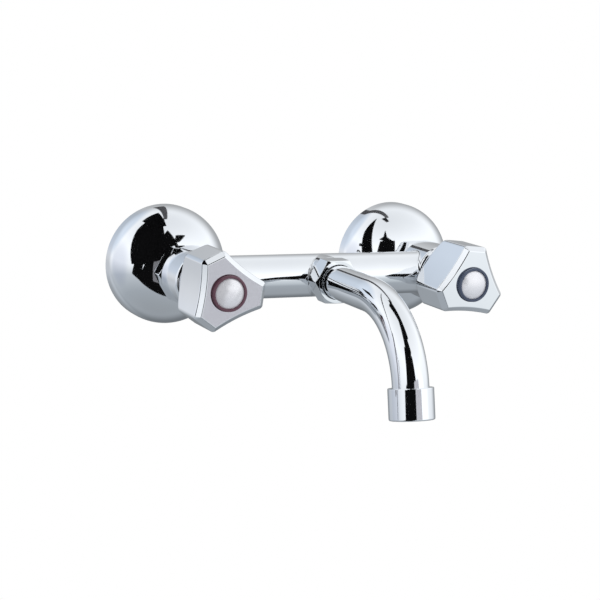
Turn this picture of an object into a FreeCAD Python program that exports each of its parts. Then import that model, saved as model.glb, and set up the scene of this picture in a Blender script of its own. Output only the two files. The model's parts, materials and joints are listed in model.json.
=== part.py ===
import FreeCAD, Part
import Sketcher
import math
import os

# Wall-mounted basin mixer tap with two handles.
# The origin is on the wall plane, midway between the two inlets, on the height of the mixer's own axis.
# +X is right and +Z is up for someone who faces the wall. The tap stands out of the wall towards -Y.
# A "depth" below is a distance out of the wall, so a point at depth d lies at Y = -d.

SIZES = [
    ("inlet_spacing", 150.0, "between the axes of the two inlets"),
    ("flange_radius", 34.5, "outer radius of a wall flange"),
    ("flange_rim", 5.8, "straight part of the flange at the wall"),
    ("flange_dome", 27.8, "radius of the dome's arc"),
    ("flange_wall", 1.2, "sheet thickness of the flange"),
    ("flange_lip", 14.5, "outer radius of the flat lip at the flange's mouth"),
    ("flange_neck", 6.0, "length of the threaded neck inside the mouth"),
    ("wall_thread", 10.48, "radius of the male thread in the wall, G 1/2"),
    ("wall_thread_length", 15.0, "length of the male thread in the wall"),
    ("union_thread", 13.2, "radius of the male thread of a union, G 3/4"),
    ("eccentricity", 7.5, "height of the mixer's axis above the wall inlets"),
    ("union_shoulder", 4.0, "depth at which the eccentric part starts"),
    ("union_offset_length", 14.0, "length of the eccentric part"),
    ("union_small_bore", 7.5, "radius of the waterway at the wall end"),
    ("union_large_bore", 9.6, "radius of the waterway at the mixer end"),
    ("thread_gap", 0.06, "radial gap in the threads"),
    ("nut_flats", 30.0, "across the flats of a union nut"),
    ("nut_lip", 2.0, "thickness of a union nut's inner lip"),
    ("face_gap", 0.4, "gap between a nut and its neighbours"),
    ("union_washer", 1.8, "thickness of the union washer"),
    ("collar_thickness", 2.2, "thickness of the inlet tail's collar"),
    ("collar_radius", 12.8, "radius of the inlet tail's collar"),
    ("tail_radius", 9.0, "outer radius of the inlet tail"),
    ("tail_bore", 6.6, "radius of the inlet tail's waterway"),
    ("tail_engagement", 5.4, "length of the tail's thread in the body"),
    ("tube_axis", 56.0, "depth of the cross tube's axis"),
    ("tube_radius", 12.3, "outer radius of the cross tube"),
    ("mixing_bore", 7.0, "radius of the cross tube's waterway"),
    ("mixing_shift", 1.5, "how far the waterway lies in front of the tube's axis"),
    ("chamber_radius", 17.0, "outer radius of a valve chamber"),
    ("chamber_edge", 2.4, "rounding of the chamber's edges"),
    ("chamber_margin", 0.5, "how far the chamber's faces stand beyond the tube"),
    ("seat_web", 2.0, "thickness of the wall that carries the valve seat"),
    ("seat_lip", 1.0, "height of the raised valve seat"),
    ("seat_bore", 5.5, "radius of the valve seat's opening"),
    ("seat_radius", 7.3, "outer radius of the raised valve seat"),
    ("valve_bore", 9.6, "radius of the valve chamber's inside"),
    ("headwork_thread", 10.45, "radius of the headwork's thread"),
    ("headwork_engagement", 9.3, "length of the headwork's thread in the body"),
    ("headwork_gasket", 0.8, "thickness of the headwork's gasket"),
    ("headwork_flats", 21.0, "across the flats of the headwork's hexagon"),
    ("headwork_hexagon", 6.5, "length of the headwork's hexagon"),
    ("headwork_neck", 7.0, "radius of the headwork's neck"),
    ("headwork_neck_length", 6.4, "length of the headwork's neck"),
    ("plate_room", 3.8, "depth of the headwork's open end"),
    ("jumper_radius", 8.0, "radius of the jumper's plate"),
    ("jumper_plate", 2.0, "thickness of the jumper's plate"),
    ("jumper_flats", 9.8, "across the flats of the jumper's guide"),
    ("jumper_guide", 9.4, "length of the jumper's guide"),
    ("jumper_washer", 3.5, "thickness of the jumper's rubber washer"),
    ("jumper_washer_radius", 7.6, "radius of the jumper's rubber washer"),
    ("valve_lift", 4.0, "travel of the jumper from closed to open"),
    ("guide_gap", 0.1, "gap of the jumper's guide on each flat"),
    ("spindle_thread", 3.4, "radius of the spindle's thread"),
    ("spindle_collar", 4.85, "radius of the spindle's collar"),
    ("spindle_collar_length", 2.0, "thickness of the spindle's collar"),
    ("spindle_radius", 4.0, "radius of the spindle's stem"),
    ("running_gap", 0.05, "radial gap of a shaft in its hole"),
    ("ring_rest", 0.01, "gap between an O-ring and the floor of its groove"),
    ("stem_ring", 1.2, "section of the spindle's O-rings"),
    ("stem_ring_pitch", 3.3, "distance between the spindle's O-rings"),
    ("clip_thickness", 0.9, "thickness of the spindle's clip"),
    ("clip_radius", 5.6, "outer radius of the spindle's clip"),
    ("clip_groove", 3.2, "radius of the spindle in the clip's groove"),
    ("spline_teeth_depth", 0.45, "depth of the spline's teeth"),
    ("handle_base", 14.6, "radius of the handle's back edge"),
    ("handle_gap", 1.4, "gap between the valve chamber and the handle"),
    ("handle_length", 31.0, "length of a handle along its axis"),
    ("handle_flare", 7.0, "length over which the handle widens"),
    ("lobe_reach", 21.6, "distance of a lobe's end from the axis"),
    ("lobe_width", 13.9, "width of a lobe's end"),
    ("waist_reach", 15.7, "least distance of the hollowed sides from the axis"),
    ("lobe_rounding", 2.6, "rounding of the lobes' corners"),
    ("handle_bevel", 2.6, "bevel round the handle's front"),
    ("handle_hollow", 12.8, "radius of the hollow in the handle"),
    ("handle_front_wall", 4.0, "depth of the seat for the index ring"),
    ("handle_web", 5.0, "metal between the hollow and the index ring's seat"),
    ("screw_web", 2.4, "metal between the spline's socket and the screw's seat"),
    ("handle_boss", 6.6, "radius of the boss that holds the spline"),
    ("left_handle_angle", -6.0, "direction of the left handle's first lobe"),
    ("right_handle_angle", 85.0, "direction of the right handle's first lobe"),
    ("screw_radius", 1.95, "radius of the handle screw"),
    ("screw_head", 3.5, "radius of the handle screw's head"),
    ("screw_head_height", 2.0, "height of the handle screw's head"),
    ("ring_radius", 9.7, "outer radius of the index ring"),
    ("ring_wall", 1.4, "width of the index ring"),
    ("ring_height", 6.2, "length of the index ring"),
    ("cap_dome", 1.0, "how far the index cap's dome rises over the ring"),
    ("boss_radius", 12.2, "radius of the spout boss"),
    ("spout_thread", 10.9, "radius of the spout boss's thread"),
    ("spout_thread_length", 7.6, "length of the spout boss's thread"),
    ("spout_nut_flats", 24.2, "across the flats of the spout nut"),
    ("spout_nut_length", 11.4, "length of the spout nut"),
    ("spout_nut_lip", 1.8, "thickness of the spout nut's lip"),
    ("spout_nut_gap", 0.35, "radial gap between the spout and its nut"),
    ("spout_radius", 9.6, "outer radius of the spout tube"),
    ("spout_wall", 1.2, "wall of the spout tube"),
    ("spout_sleeve", 14.0, "length of the spout's root in the body"),
    ("spout_sleeve_bore", 6.6, "radius of the waterway in the spout's root"),
    ("spout_ring", 1.6, "section of the spout's O-rings"),
    ("spout_ring_pitch", 4.2, "distance between the spout's O-rings"),
    ("retainer_radius", 10.6, "outer radius of the spout's retaining ring"),
    ("retainer_groove", 8.6, "radius of the spout in the retaining ring's groove"),
    ("retainer_thickness", 1.8, "thickness of the spout's retaining ring"),
    ("bend_start", 118.0, "depth at which the spout's bend starts"),
    ("bend_radius", 50.0, "radius of the spout's bend, on its axis"),
    ("bend_angle", 78.0, "angle of the spout's bend"),
    ("bush_gap", 0.03, "radial gap of the end bush on the tube, filled with braze"),
    ("bush_wall", 1.27, "wall of the end bush up to the tips of its thread"),
    ("bush_length", 7.6, "length of the spout's end bush"),
    ("aerator_wall", 1.04, "wall of the aerator's housing round its thread"),
    ("aerator_length", 16.6, "length of the aerator"),
    ("aerator_lip", 1.4, "width of the aerator's inner lip"),
    ("aerator_washer", 1.6, "thickness of the aerator's washer"),
    ("insert_cell", 2.5, "across the flats of a cell of the aerator's honeycomb"),
    ("insert_rib", 0.7, "width of the ribs between the cells"),
    ("outlet_recess", 1.2, "how far the insert lies behind the aerator's edge"),
]

SPLINE_TEETH = 18

doc = FreeCAD.newDocument("basin_mixer_tap")
sheet = doc.addObject("Spreadsheet::Sheet", "Sizes")
for row, (alias, size, meaning) in enumerate(SIZES, 1):
    sheet.set("A%d" % row, meaning)
    sheet.set("B%d" % row, str(size))
    sheet.setAlias("B%d" % row, alias)
doc.recompute()

nodes = []


# Places that follow from the sizes, as expressions on the sheet

FLANGE_FRONT = (
    "(Sizes.flange_rim + sqrt(Sizes.flange_dome^2"
    " - (Sizes.flange_lip - Sizes.flange_radius + Sizes.flange_dome)^2))"
)
CHAMBER_BACK = "(Sizes.tube_axis - Sizes.tube_radius - Sizes.chamber_margin)"
CHAMBER_FRONT = "(Sizes.tube_axis + Sizes.tube_radius + Sizes.chamber_margin)"

NUT_BACK = FLANGE_FRONT + " + Sizes.face_gap"
NUT_FRONT = CHAMBER_BACK + " - Sizes.face_gap"
LIP_BACK = NUT_FRONT + " - Sizes.nut_lip"
COLLAR_BACK = LIP_BACK + " - Sizes.collar_thickness"
UNION_END = COLLAR_BACK + " - Sizes.union_washer"

TAIL_FLOOR = CHAMBER_BACK + " + Sizes.tail_engagement + Sizes.face_gap"
WEB_FRONT = TAIL_FLOOR + " + Sizes.seat_web"
SEAT = WEB_FRONT + " + Sizes.seat_lip"

WASHER_FRONT = SEAT + " + Sizes.jumper_washer"
PLATE_FRONT = WASHER_FRONT + " + Sizes.jumper_plate"
GUIDE_FRONT = PLATE_FRONT + " + Sizes.jumper_guide"
HEADWORK_BACK = CHAMBER_FRONT + " - Sizes.headwork_engagement"
PLATE_STOP = HEADWORK_BACK + " + Sizes.plate_room"
COLLAR_START = GUIDE_FRONT + " + Sizes.valve_lift + Sizes.face_gap"
COLLAR_END = COLLAR_START + " + Sizes.spindle_collar_length"
SHOULDER = COLLAR_END + " + Sizes.guide_gap"
HEXAGON_BACK = CHAMBER_FRONT + " + Sizes.headwork_gasket"
HEXAGON_FRONT = HEXAGON_BACK + " + Sizes.headwork_hexagon"
HEADWORK_FRONT = HEXAGON_FRONT + " + Sizes.headwork_neck_length"
CLIP_BACK = HEADWORK_FRONT + " + Sizes.guide_gap"
CLIP_FRONT = CLIP_BACK + " + Sizes.clip_thickness"

HANDLE_BACK = CHAMBER_FRONT + " + Sizes.handle_gap"
HANDLE_FRONT = HANDLE_BACK + " + Sizes.handle_length"
RING_SEAT = HANDLE_FRONT + " - Sizes.handle_front_wall"
HOLLOW_END = RING_SEAT + " - Sizes.handle_web"
BOSS_BACK = CLIP_FRONT + " + 2 * Sizes.face_gap"
SCREW_SEAT = RING_SEAT + " - Sizes.screw_head_height - Sizes.face_gap"
SOCKET_END = SCREW_SEAT + " - Sizes.screw_web"
SPINDLE_END = SOCKET_END + " - Sizes.guide_gap"
RING_FRONT = RING_SEAT + " + Sizes.ring_height"

BOSS_FRONT = CHAMBER_FRONT + " + Sizes.guide_gap"
SPIGOT_END = BOSS_FRONT + " + Sizes.spout_thread_length"
SPOUT_NUT_BACK = BOSS_FRONT + " + Sizes.guide_gap"
SPOUT_NUT_FRONT = SPOUT_NUT_BACK + " + Sizes.spout_nut_length"
SPOUT_LIP_BACK = SPOUT_NUT_FRONT + " - Sizes.spout_nut_lip"
RETAINER_BACK = SPIGOT_END + " + Sizes.guide_gap"
RETAINER_FRONT = RETAINER_BACK + " + Sizes.retainer_thickness"
SPOUT_ROOT = SPIGOT_END + " - Sizes.spout_sleeve"

SPOUT_END_DEPTH = "(Sizes.bend_start + Sizes.bend_radius * sin(Sizes.bend_angle))"
SPOUT_END_DROP = "(Sizes.bend_radius * (1 - cos(Sizes.bend_angle)))"
BUSH_RADIUS = "(Sizes.spout_radius + Sizes.bush_gap + Sizes.bush_wall)"
AERATOR_RADIUS = "(%s + Sizes.thread_gap + Sizes.aerator_wall)" % BUSH_RADIUS

SIDE = {"left": "-Sizes.inlet_spacing / 2", "right": "Sizes.inlet_spacing / 2"}
HANDLE_ANGLE = {"left": "Sizes.left_handle_angle", "right": "Sizes.right_handle_angle"}


def value(text):
    """Works out an expression on the sheet as a plain number."""
    return float(sheet.evalExpression(text))


def node(item, label):
    """Names a finished sub-part and lists it for export."""
    item.Label = label
    nodes.append(item)
    return item


def new_body(name, x="0"):
    """Starts a body whose axis lies at x and runs straight out of the wall."""
    made = doc.addObject("PartDesign::Body", name)
    made.setExpression(".Placement.Base.x", x)
    return made


def new_sketch(body, name, role, lift="0", across="0", up="0"):
    """Adds a sketch on one of the body's own planes, lifted off it and shifted along it."""
    plane = [item for item in body.Origin.OriginFeatures if item.Role == role][0]
    made = body.newObject("Sketcher::SketchObject", name)
    made.AttachmentSupport = [(plane, "")]
    made.MapMode = "FlatFace"
    made.setExpression(".AttachmentOffset.Base.x", across)
    made.setExpression(".AttachmentOffset.Base.y", up)
    made.setExpression(".AttachmentOffset.Base.z", lift)
    return made


def pin_value(sketch, kind, *place):
    """Adds a dimension to a sketch; the last entry is its expression."""
    number = sketch.addConstraint(Sketcher.Constraint(kind, *place[:-1], value(place[-1])))
    sketch.setExpression("Constraints[%d]" % number, place[-1])


def arc_centre(start, end, radius):
    """Finds the centre of an arc; a positive radius has it on the left of the chord."""
    middle = (start + end) / 2
    half = (end - start) / 2
    rise = math.sqrt(radius**2 - half.Length**2)
    left = FreeCAD.Vector(-half.y, half.x, 0).normalize()
    return middle + left * math.copysign(rise, radius)


def draw(sketch, corners, closed=True):
    """Draws an outline. Each corner is (x, y) or (x, y, radius), where radius bends the edge that follows."""
    points = [FreeCAD.Vector(value(c[0]), value(c[1]), 0) for c in corners]
    count = len(corners) if closed else len(corners) - 1
    before = sketch.GeometryCount
    starts = []
    for index in range(count):
        corner, start, end = corners[index], points[index], points[(index + 1) % len(points)]
        if len(corner) == 2:
            sketch.addGeometry(Part.LineSegment(start, end), False)
            starts.append((before + index, 1, 2))
            continue
        radius = value(corner[2])
        centre = arc_centre(start, end, radius)
        low, high = (start, end) if radius > 0 else (end, start)
        circle = Part.Circle(centre, FreeCAD.Vector(0, 0, 1), abs(radius))
        first = math.atan2(low.y - centre.y, low.x - centre.x)
        last = math.atan2(high.y - centre.y, high.x - centre.x)
        sketch.addGeometry(Part.ArcOfCircle(circle, first, last), False)
        starts.append((before + index, 1, 2) if radius > 0 else (before + index, 2, 1))
    for index in range(count if closed else count - 1):
        here, after = starts[index], starts[(index + 1) % count]
        sketch.addConstraint(Sketcher.Constraint("Coincident", here[0], here[2], after[0], after[1]))
    for index, corner in enumerate(corners):
        edge, end = starts[index][:2] if index < count else starts[index - 1][::2]
        pin_value(sketch, "DistanceX", edge, end, corner[0])
        pin_value(sketch, "DistanceY", edge, end, corner[1])
        if len(corner) == 3:
            pin_value(sketch, "Radius", edge, corner[2] if value(corner[2]) > 0 else "-(%s)" % corner[2])
    return sketch


def draw_circles(sketch, circles):
    """Draws circles, each given as (x, y, radius)."""
    for x, y, radius in circles:
        centre = FreeCAD.Vector(value(x), value(y), 0)
        circle = Part.Circle(centre, FreeCAD.Vector(0, 0, 1), value(radius))
        index = sketch.addGeometry(circle, False)
        pin_value(sketch, "DistanceX", index, 3, x)
        pin_value(sketch, "DistanceY", index, 3, y)
        pin_value(sketch, "Radius", index, radius)
    return sketch


def half_section(profile):
    """Turns (radius, depth) corners into sketch corners, with depth along -Y."""
    return [(corner[0], "-(%s)" % corner[1], *corner[2:]) for corner in profile]


def turn(body, name, profile, cuts=False, across="0"):
    """Revolves a half section given as (radius, depth) corners, to add metal or to cut it."""
    sketch = draw(new_sketch(body, name + "_section", "XY_Plane", across=across), half_section(profile))
    before = body.Shape.Volume if body.Tip else 0.0
    feature = body.newObject("PartDesign::Groove" if cuts else "PartDesign::Revolution", name)
    feature.Profile = sketch
    feature.ReferenceAxis = (sketch, ["V_Axis"])
    feature.Angle = 360
    return settle(feature, before, cuts)


def settle(feature, before, cuts):
    """Recomputes and makes sure that a cut removes metal and that anything else adds some."""
    doc.recompute()
    change = feature.Shape.Volume - before
    if (change >= 0) if cuts else (change <= 0):
        raise ValueError("%s changes the volume by %.3f" % (feature.Name, change))
    return feature


def raise_up(body, name, sketch, length, cuts=False, both_ways=False):
    """Pads a sketch along its normal, or cuts the same space away."""
    before = body.Shape.Volume if body.Tip else 0.0
    feature = body.newObject("PartDesign::Pocket" if cuts else "PartDesign::Pad", name)
    feature.Profile = sketch
    feature.setExpression("Length", length)
    feature.Midplane = both_ways
    feature.Reversed = cuts and not both_ways
    return settle(feature, before, cuts)


def flat_sketch(body, name, depth, circles=None, corners=None, across="0", up="0"):
    """Adds a sketch that faces out of the wall at a depth."""
    sketch = new_sketch(body, name, "XZ_Plane", lift=depth, across=across, up=up)
    return draw_circles(sketch, circles) if circles else draw(sketch, corners)


def hexagon(flats, x="0", y="0"):
    """Gives the corners of a hexagon whose top and bottom are level."""
    corners = []
    for index in range(6):
        reach = "%s / sqrt(3)" % flats
        corners.append(("%s + %s * cos(%d)" % (x, reach, 60 * index), "%s + %s * sin(%d)" % (y, reach, 60 * index)))
    return corners


def soften(body, name, base, edges, size, kind="Fillet"):
    """Rounds or bevels edges of the feature before."""
    feature = body.newObject("PartDesign::" + kind, name)
    feature.Base = (base, edges)
    feature.setExpression("Radius" if kind == "Fillet" else "Size", size)
    return settle(feature, base.Shape.Volume, True)


def turned_part(label, profile, x="0"):
    """Makes a sub-part from one half section."""
    body = new_body(label, x)
    turn(body, label + "_turned", profile)
    return node(body, label)


def tube_profile(inner, outer, back, front):
    """Gives the half section of a plain ring."""
    return [(inner, back), (outer, back), (outer, front), (inner, front)]


def squeezed_ring(name, shaft, section, depth, x="0"):
    """Makes one O-ring as it lies squeezed in a groove of its shaft."""
    floor, top = "(%s - %s + Sizes.ring_rest)" % (shaft, section), "(%s + Sizes.ring_rest)" % shaft
    half, edge = "%s * 0.6" % section, "%s * 0.3" % section
    body = new_body(name, x)
    turn(body, name + "_turned", [
        (floor, "%s - %s + %s" % (depth, half, edge)),
        ("%s + %s" % (floor, edge), "%s - %s" % (depth, half)),
        ("%s - %s" % (top, edge), "%s - %s" % (depth, half)),
        (top, "%s - %s + %s" % (depth, half, edge)),
        (top, "%s + %s - %s" % (depth, half, edge)),
        ("%s - %s" % (top, edge), "%s + %s" % (depth, half)),
        ("%s + %s" % (floor, edge), "%s + %s" % (depth, half)),
        (floor, "%s + %s - %s" % (depth, half, edge)),
    ])
    return body


def group(label, solids):
    """Joins separate like solids in one node."""
    made = doc.addObject("Part::Compound", label)
    made.Links = solids
    doc.recompute()
    return node(made, label)


# Wall side: flange, eccentric union, union nut, washer and inlet tail

def wall_flange(side):
    """A spun dome that hides the wall fitting, with a threaded neck inside its mouth."""
    centre = "(Sizes.flange_radius - Sizes.flange_dome)"
    inner_dome = "(Sizes.flange_dome - Sizes.flange_wall)"
    hole = "Sizes.union_thread + Sizes.thread_gap"
    neck = "Sizes.flange_lip + Sizes.face_gap"
    neck_back = FLANGE_FRONT + " - Sizes.flange_neck"
    neck_top = "Sizes.flange_rim + sqrt(%s^2 - (%s - %s)^2)" % (inner_dome, neck, centre)
    inner = "Sizes.flange_radius - Sizes.flange_wall"
    turned_part(side + "_wall_flange", [
        ("Sizes.flange_radius", "0"),
        (inner, "0"),
        (inner, "Sizes.flange_rim", "-" + inner_dome),
        (neck, neck_top),
        (neck, neck_back),
        (hole, neck_back),
        (hole, FLANGE_FRONT),
        ("Sizes.flange_lip", FLANGE_FRONT, "Sizes.flange_dome"),
        ("Sizes.flange_radius", "Sizes.flange_rim"),
    ], SIDE[side])


def s_union(side):
    """An eccentric union: a wall thread below, an offset neck and a thread on the mixer's axis."""
    drop = "-Sizes.eccentricity"
    body = new_body(side + "_s_union", SIDE[side])
    neck_end = "Sizes.union_shoulder + Sizes.union_offset_length"
    tail = flat_sketch(body, "tail_circle", "-Sizes.wall_thread_length", [("0", drop, "Sizes.wall_thread")])
    raise_up(body, "wall_tail", tail, "Sizes.wall_thread_length + Sizes.union_shoulder")
    low = flat_sketch(body, "neck_low", "Sizes.union_shoulder", [("0", drop, "Sizes.wall_thread")])
    high = flat_sketch(body, "neck_high", neck_end, [("0", "0", "Sizes.union_thread")])
    before = body.Shape.Volume
    neck = body.newObject("PartDesign::AdditiveLoft", "offset_neck")
    neck.Profile = low
    neck.Sections = [high]
    settle(neck, before, False)
    end = flat_sketch(body, "thread_circle", neck_end, [("0", "0", "Sizes.union_thread")])
    raise_up(body, "mixer_thread", end, UNION_END + " - (%s)" % neck_end)
    turn(body, "large_bore", [
        ("0", "Sizes.union_shoulder + Sizes.union_offset_length / 2"),
        ("Sizes.union_large_bore", "Sizes.union_shoulder + Sizes.union_offset_length / 2"),
        ("Sizes.union_large_bore", UNION_END + " + 1"),
        ("0", UNION_END + " + 1"),
    ], cuts=True)
    small = flat_sketch(body, "small_bore_circle", "-Sizes.wall_thread_length - 1", [
        ("0", drop, "Sizes.union_small_bore"),
    ])
    reach = "Sizes.wall_thread_length + 1 + Sizes.union_shoulder + Sizes.union_offset_length / 2 + 1"
    raise_up(body, "small_bore", small, reach, cuts=True)
    node(body, side + "_s_union")


def hexagonal_nut(label, x, flats, back, front, bore, lip_hole, lip_back):
    """A hexagonal nut whose thread ends at an inner lip, with turned corners at both ends."""
    body = new_body(label, x)
    blank = flat_sketch(body, label + "_outline", back, corners=hexagon(flats))
    raise_up(body, label + "_blank", blank, "%s - (%s)" % (front, back))
    corner = flats + " / sqrt(3)"
    flat = flats + " / 2 - 0.2"
    rise = "(%s - (%s)) / sqrt(3)" % (corner, flat)
    for name, face, inwards in (("front", front, "-"), ("back", back, "+")):
        turn(body, label + "_" + name + "_corners", [
            (flat, face),
            (corner + " + 1", face),
            (corner + " + 1", "%s %s (%s + 1 / sqrt(3))" % (face, inwards, rise)),
        ], cuts=True)
    turn(body, label + "_thread", [
        ("0", back + " - 1"), (bore, back + " - 1"), (bore, lip_back), ("0", lip_back),
    ], cuts=True)
    turn(body, label + "_lip_hole", [
        ("0", lip_back + " - 1"), (lip_hole, lip_back + " - 1"), (lip_hole, front + " + 1"), ("0", front + " + 1"),
    ], cuts=True)
    node(body, label)


def inlet_tail(side):
    """The tube that is screwed into the body; its collar holds the union nut."""
    turned_part(side + "_inlet_tail", [
        ("Sizes.tail_bore", COLLAR_BACK),
        ("Sizes.collar_radius", COLLAR_BACK),
        ("Sizes.collar_radius", LIP_BACK),
        ("Sizes.tail_radius", LIP_BACK),
        ("Sizes.tail_radius", CHAMBER_BACK + " + Sizes.tail_engagement"),
        ("Sizes.tail_bore", CHAMBER_BACK + " + Sizes.tail_engagement"),
    ], SIDE[side])


def inlet(side):
    """Makes everything between the wall and the body on one side."""
    wall_flange(side)
    s_union(side)
    hexagonal_nut(side + "_union_nut", SIDE[side], "Sizes.nut_flats", NUT_BACK, NUT_FRONT,
                  "Sizes.union_thread + Sizes.thread_gap", "Sizes.tail_radius + Sizes.guide_gap", LIP_BACK)
    turned_part(side + "_union_washer", tube_profile(
        "Sizes.union_large_bore", "Sizes.collar_radius", UNION_END, COLLAR_BACK), SIDE[side])
    inlet_tail(side)


# Body casting

def mixer_body():
    """The casting: a cross tube, two valve chambers with their seats, and the spout boss."""
    body = new_body("mixer_body")
    tube = draw_circles(new_sketch(body, "tube_circle", "YZ_Plane"), [
        ("-Sizes.tube_axis", "0", "Sizes.tube_radius"),
    ])
    raise_up(body, "cross_tube", tube, "Sizes.inlet_spacing", both_ways=True)
    chamber = [
        ("0", CHAMBER_BACK),
        ("Sizes.chamber_radius - Sizes.chamber_edge", CHAMBER_BACK, "-Sizes.chamber_edge"),
        ("Sizes.chamber_radius", CHAMBER_BACK + " + Sizes.chamber_edge"),
        ("Sizes.chamber_radius", CHAMBER_FRONT + " - Sizes.chamber_edge", "-Sizes.chamber_edge"),
        ("Sizes.chamber_radius - Sizes.chamber_edge", CHAMBER_FRONT),
        ("0", CHAMBER_FRONT),
    ]
    for side, x in SIDE.items():
        turn(body, side + "_chamber", chamber, across=x)
    boss = flat_sketch(body, "boss_circle", "Sizes.tube_axis", [("0", "0", "Sizes.boss_radius")])
    raise_up(body, "spout_boss", boss, BOSS_FRONT + " - Sizes.tube_axis")
    spigot = flat_sketch(body, "spigot_circle", BOSS_FRONT, [("0", "0", "Sizes.spout_thread")])
    raise_up(body, "spout_spigot", spigot, "Sizes.spout_thread_length")
    hollow = [
        ("0", CHAMBER_BACK + " - 1"),
        ("Sizes.tail_radius + Sizes.thread_gap", CHAMBER_BACK + " - 1"),
        ("Sizes.tail_radius + Sizes.thread_gap", TAIL_FLOOR),
        ("Sizes.seat_bore", TAIL_FLOOR),
        ("Sizes.seat_bore", SEAT),
        ("Sizes.seat_radius", SEAT),
        ("Sizes.seat_radius", WEB_FRONT),
        ("Sizes.valve_bore", WEB_FRONT),
        ("Sizes.valve_bore", HEADWORK_BACK + " - Sizes.face_gap"),
        ("Sizes.headwork_thread + Sizes.thread_gap", HEADWORK_BACK + " - Sizes.face_gap"),
        ("Sizes.headwork_thread + Sizes.thread_gap", CHAMBER_FRONT + " + 1"),
        ("0", CHAMBER_FRONT + " + 1"),
    ]
    for side, x in SIDE.items():
        turn(body, side + "_valve_way", hollow, cuts=True, across=x)
    mixing = draw_circles(new_sketch(body, "mixing_circle", "YZ_Plane"), [
        ("-Sizes.tube_axis - Sizes.mixing_shift", "0", "Sizes.mixing_bore"),
    ])
    reach = "Sizes.inlet_spacing - 2 * (Sizes.valve_bore - 0.2)"
    raise_up(body, "mixing_way", mixing, reach, cuts=True, both_ways=True)
    sleeve = "Sizes.spout_radius + Sizes.running_gap"
    turn(body, "spout_way", [
        ("0", "Sizes.tube_axis"),
        ("Sizes.spout_sleeve_bore", "Sizes.tube_axis"),
        ("Sizes.spout_sleeve_bore", SPOUT_ROOT + " - Sizes.face_gap"),
        (sleeve, SPOUT_ROOT + " - Sizes.face_gap"),
        (sleeve, SPIGOT_END + " + 1"),
        ("0", SPIGOT_END + " + 1"),
    ], cuts=True)
    node(body, "mixer_body")


# Valve headwork: the part screwed into each chamber

def headwork_body(side):
    """The headwork's housing: thread, hexagon and neck outside, plate room, hexagonal guide and stem bore inside."""
    label = side + "_headwork_body"
    body = new_body(label, SIDE[side])
    turn(body, label + "_turned", [
        ("0", HEADWORK_BACK),
        ("Sizes.headwork_thread", HEADWORK_BACK),
        ("Sizes.headwork_thread", HEXAGON_BACK),
        ("Sizes.headwork_neck", HEXAGON_BACK),
        ("Sizes.headwork_neck", HEADWORK_FRONT),
        ("0", HEADWORK_FRONT),
    ])
    outline = flat_sketch(body, label + "_outline", HEXAGON_BACK, corners=hexagon("Sizes.headwork_flats"))
    raise_up(body, label + "_hexagon", outline, "Sizes.headwork_hexagon")
    room = flat_sketch(body, label + "_room_circle", HEADWORK_BACK, [
        ("0", "0", "Sizes.jumper_radius + 3 * Sizes.guide_gap"),
    ])
    raise_up(body, label + "_plate_room", room, "Sizes.plate_room", cuts=True)
    guide = flat_sketch(body, label + "_guide_outline", PLATE_STOP,
                        corners=hexagon("(Sizes.jumper_flats + 2 * Sizes.guide_gap)"))
    raise_up(body, label + "_guide", guide, "%s - (%s)" % (SHOULDER, PLATE_STOP), cuts=True)
    stem = flat_sketch(body, label + "_stem_circle", SHOULDER, [
        ("0", "0", "Sizes.spindle_radius + Sizes.running_gap"),
    ])
    raise_up(body, label + "_stem_bore", stem, "%s - (%s) + 1" % (HEADWORK_FRONT, SHOULDER), cuts=True)
    node(body, label)


def spline_outline(tip, turned):
    """Gives the corners of a toothed shaft with sharp teeth, turned with its handle."""
    corners = []
    for index in range(2 * SPLINE_TEETH):
        radius = tip if index % 2 == 0 else "(%s - Sizes.spline_teeth_depth)" % tip
        angle = "(%s + %g)" % (turned, index * 180 / SPLINE_TEETH)
        corners.append(("%s * cos(%s)" % (radius, angle), "%s * sin(%s)" % (radius, angle)))
    return corners


def spindle(side):
    """The spindle: thread at the back, collar, grooved stem and splined end with a tapped hole."""
    label = side + "_spindle"
    body = new_body(label, SIDE[side])
    thread_start = PLATE_FRONT + " + Sizes.jumper_plate / 4 + Sizes.valve_lift"
    floor = "Sizes.spindle_radius - Sizes.stem_ring"
    half_groove = "Sizes.stem_ring * 0.75"
    profile = [
        ("0", thread_start),
        ("Sizes.spindle_thread", thread_start),
        ("Sizes.spindle_thread", COLLAR_START),
        ("Sizes.spindle_collar", COLLAR_START),
        ("Sizes.spindle_collar", COLLAR_END),
        ("Sizes.spindle_radius", COLLAR_END),
    ]
    for depth in stem_ring_depths():
        profile += [
            ("Sizes.spindle_radius", "%s - %s" % (depth, half_groove)),
            (floor, "%s - %s" % (depth, half_groove)),
            (floor, "%s + %s" % (depth, half_groove)),
            ("Sizes.spindle_radius", "%s + %s" % (depth, half_groove)),
        ]
    profile += [
        ("Sizes.spindle_radius", CLIP_BACK),
        ("Sizes.clip_groove", CLIP_BACK),
        ("Sizes.clip_groove", BOSS_BACK),
        ("0", BOSS_BACK),
    ]
    turn(body, label + "_turned", profile)
    teeth = flat_sketch(body, label + "_teeth", CLIP_FRONT,
                        corners=spline_outline("Sizes.spindle_radius", HANDLE_ANGLE[side]))
    raise_up(body, label + "_spline", teeth, "%s - (%s)" % (SPINDLE_END, CLIP_FRONT))
    hole = flat_sketch(body, label + "_hole_circle", BOSS_BACK, [
        ("0", "0", "Sizes.screw_radius + Sizes.thread_gap"),
    ])
    raise_up(body, label + "_tapped_hole", hole, "%s - (%s) + 1" % (SPINDLE_END, BOSS_BACK), cuts=True)
    node(body, label)


def stem_ring_depths():
    """Gives the depths of the spindle's O-rings."""
    middle = "(%s + %s) / 2" % (SHOULDER, HEADWORK_FRONT)
    return ["(%s - Sizes.stem_ring_pitch / 2)" % middle, "(%s + Sizes.stem_ring_pitch / 2)" % middle]


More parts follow.
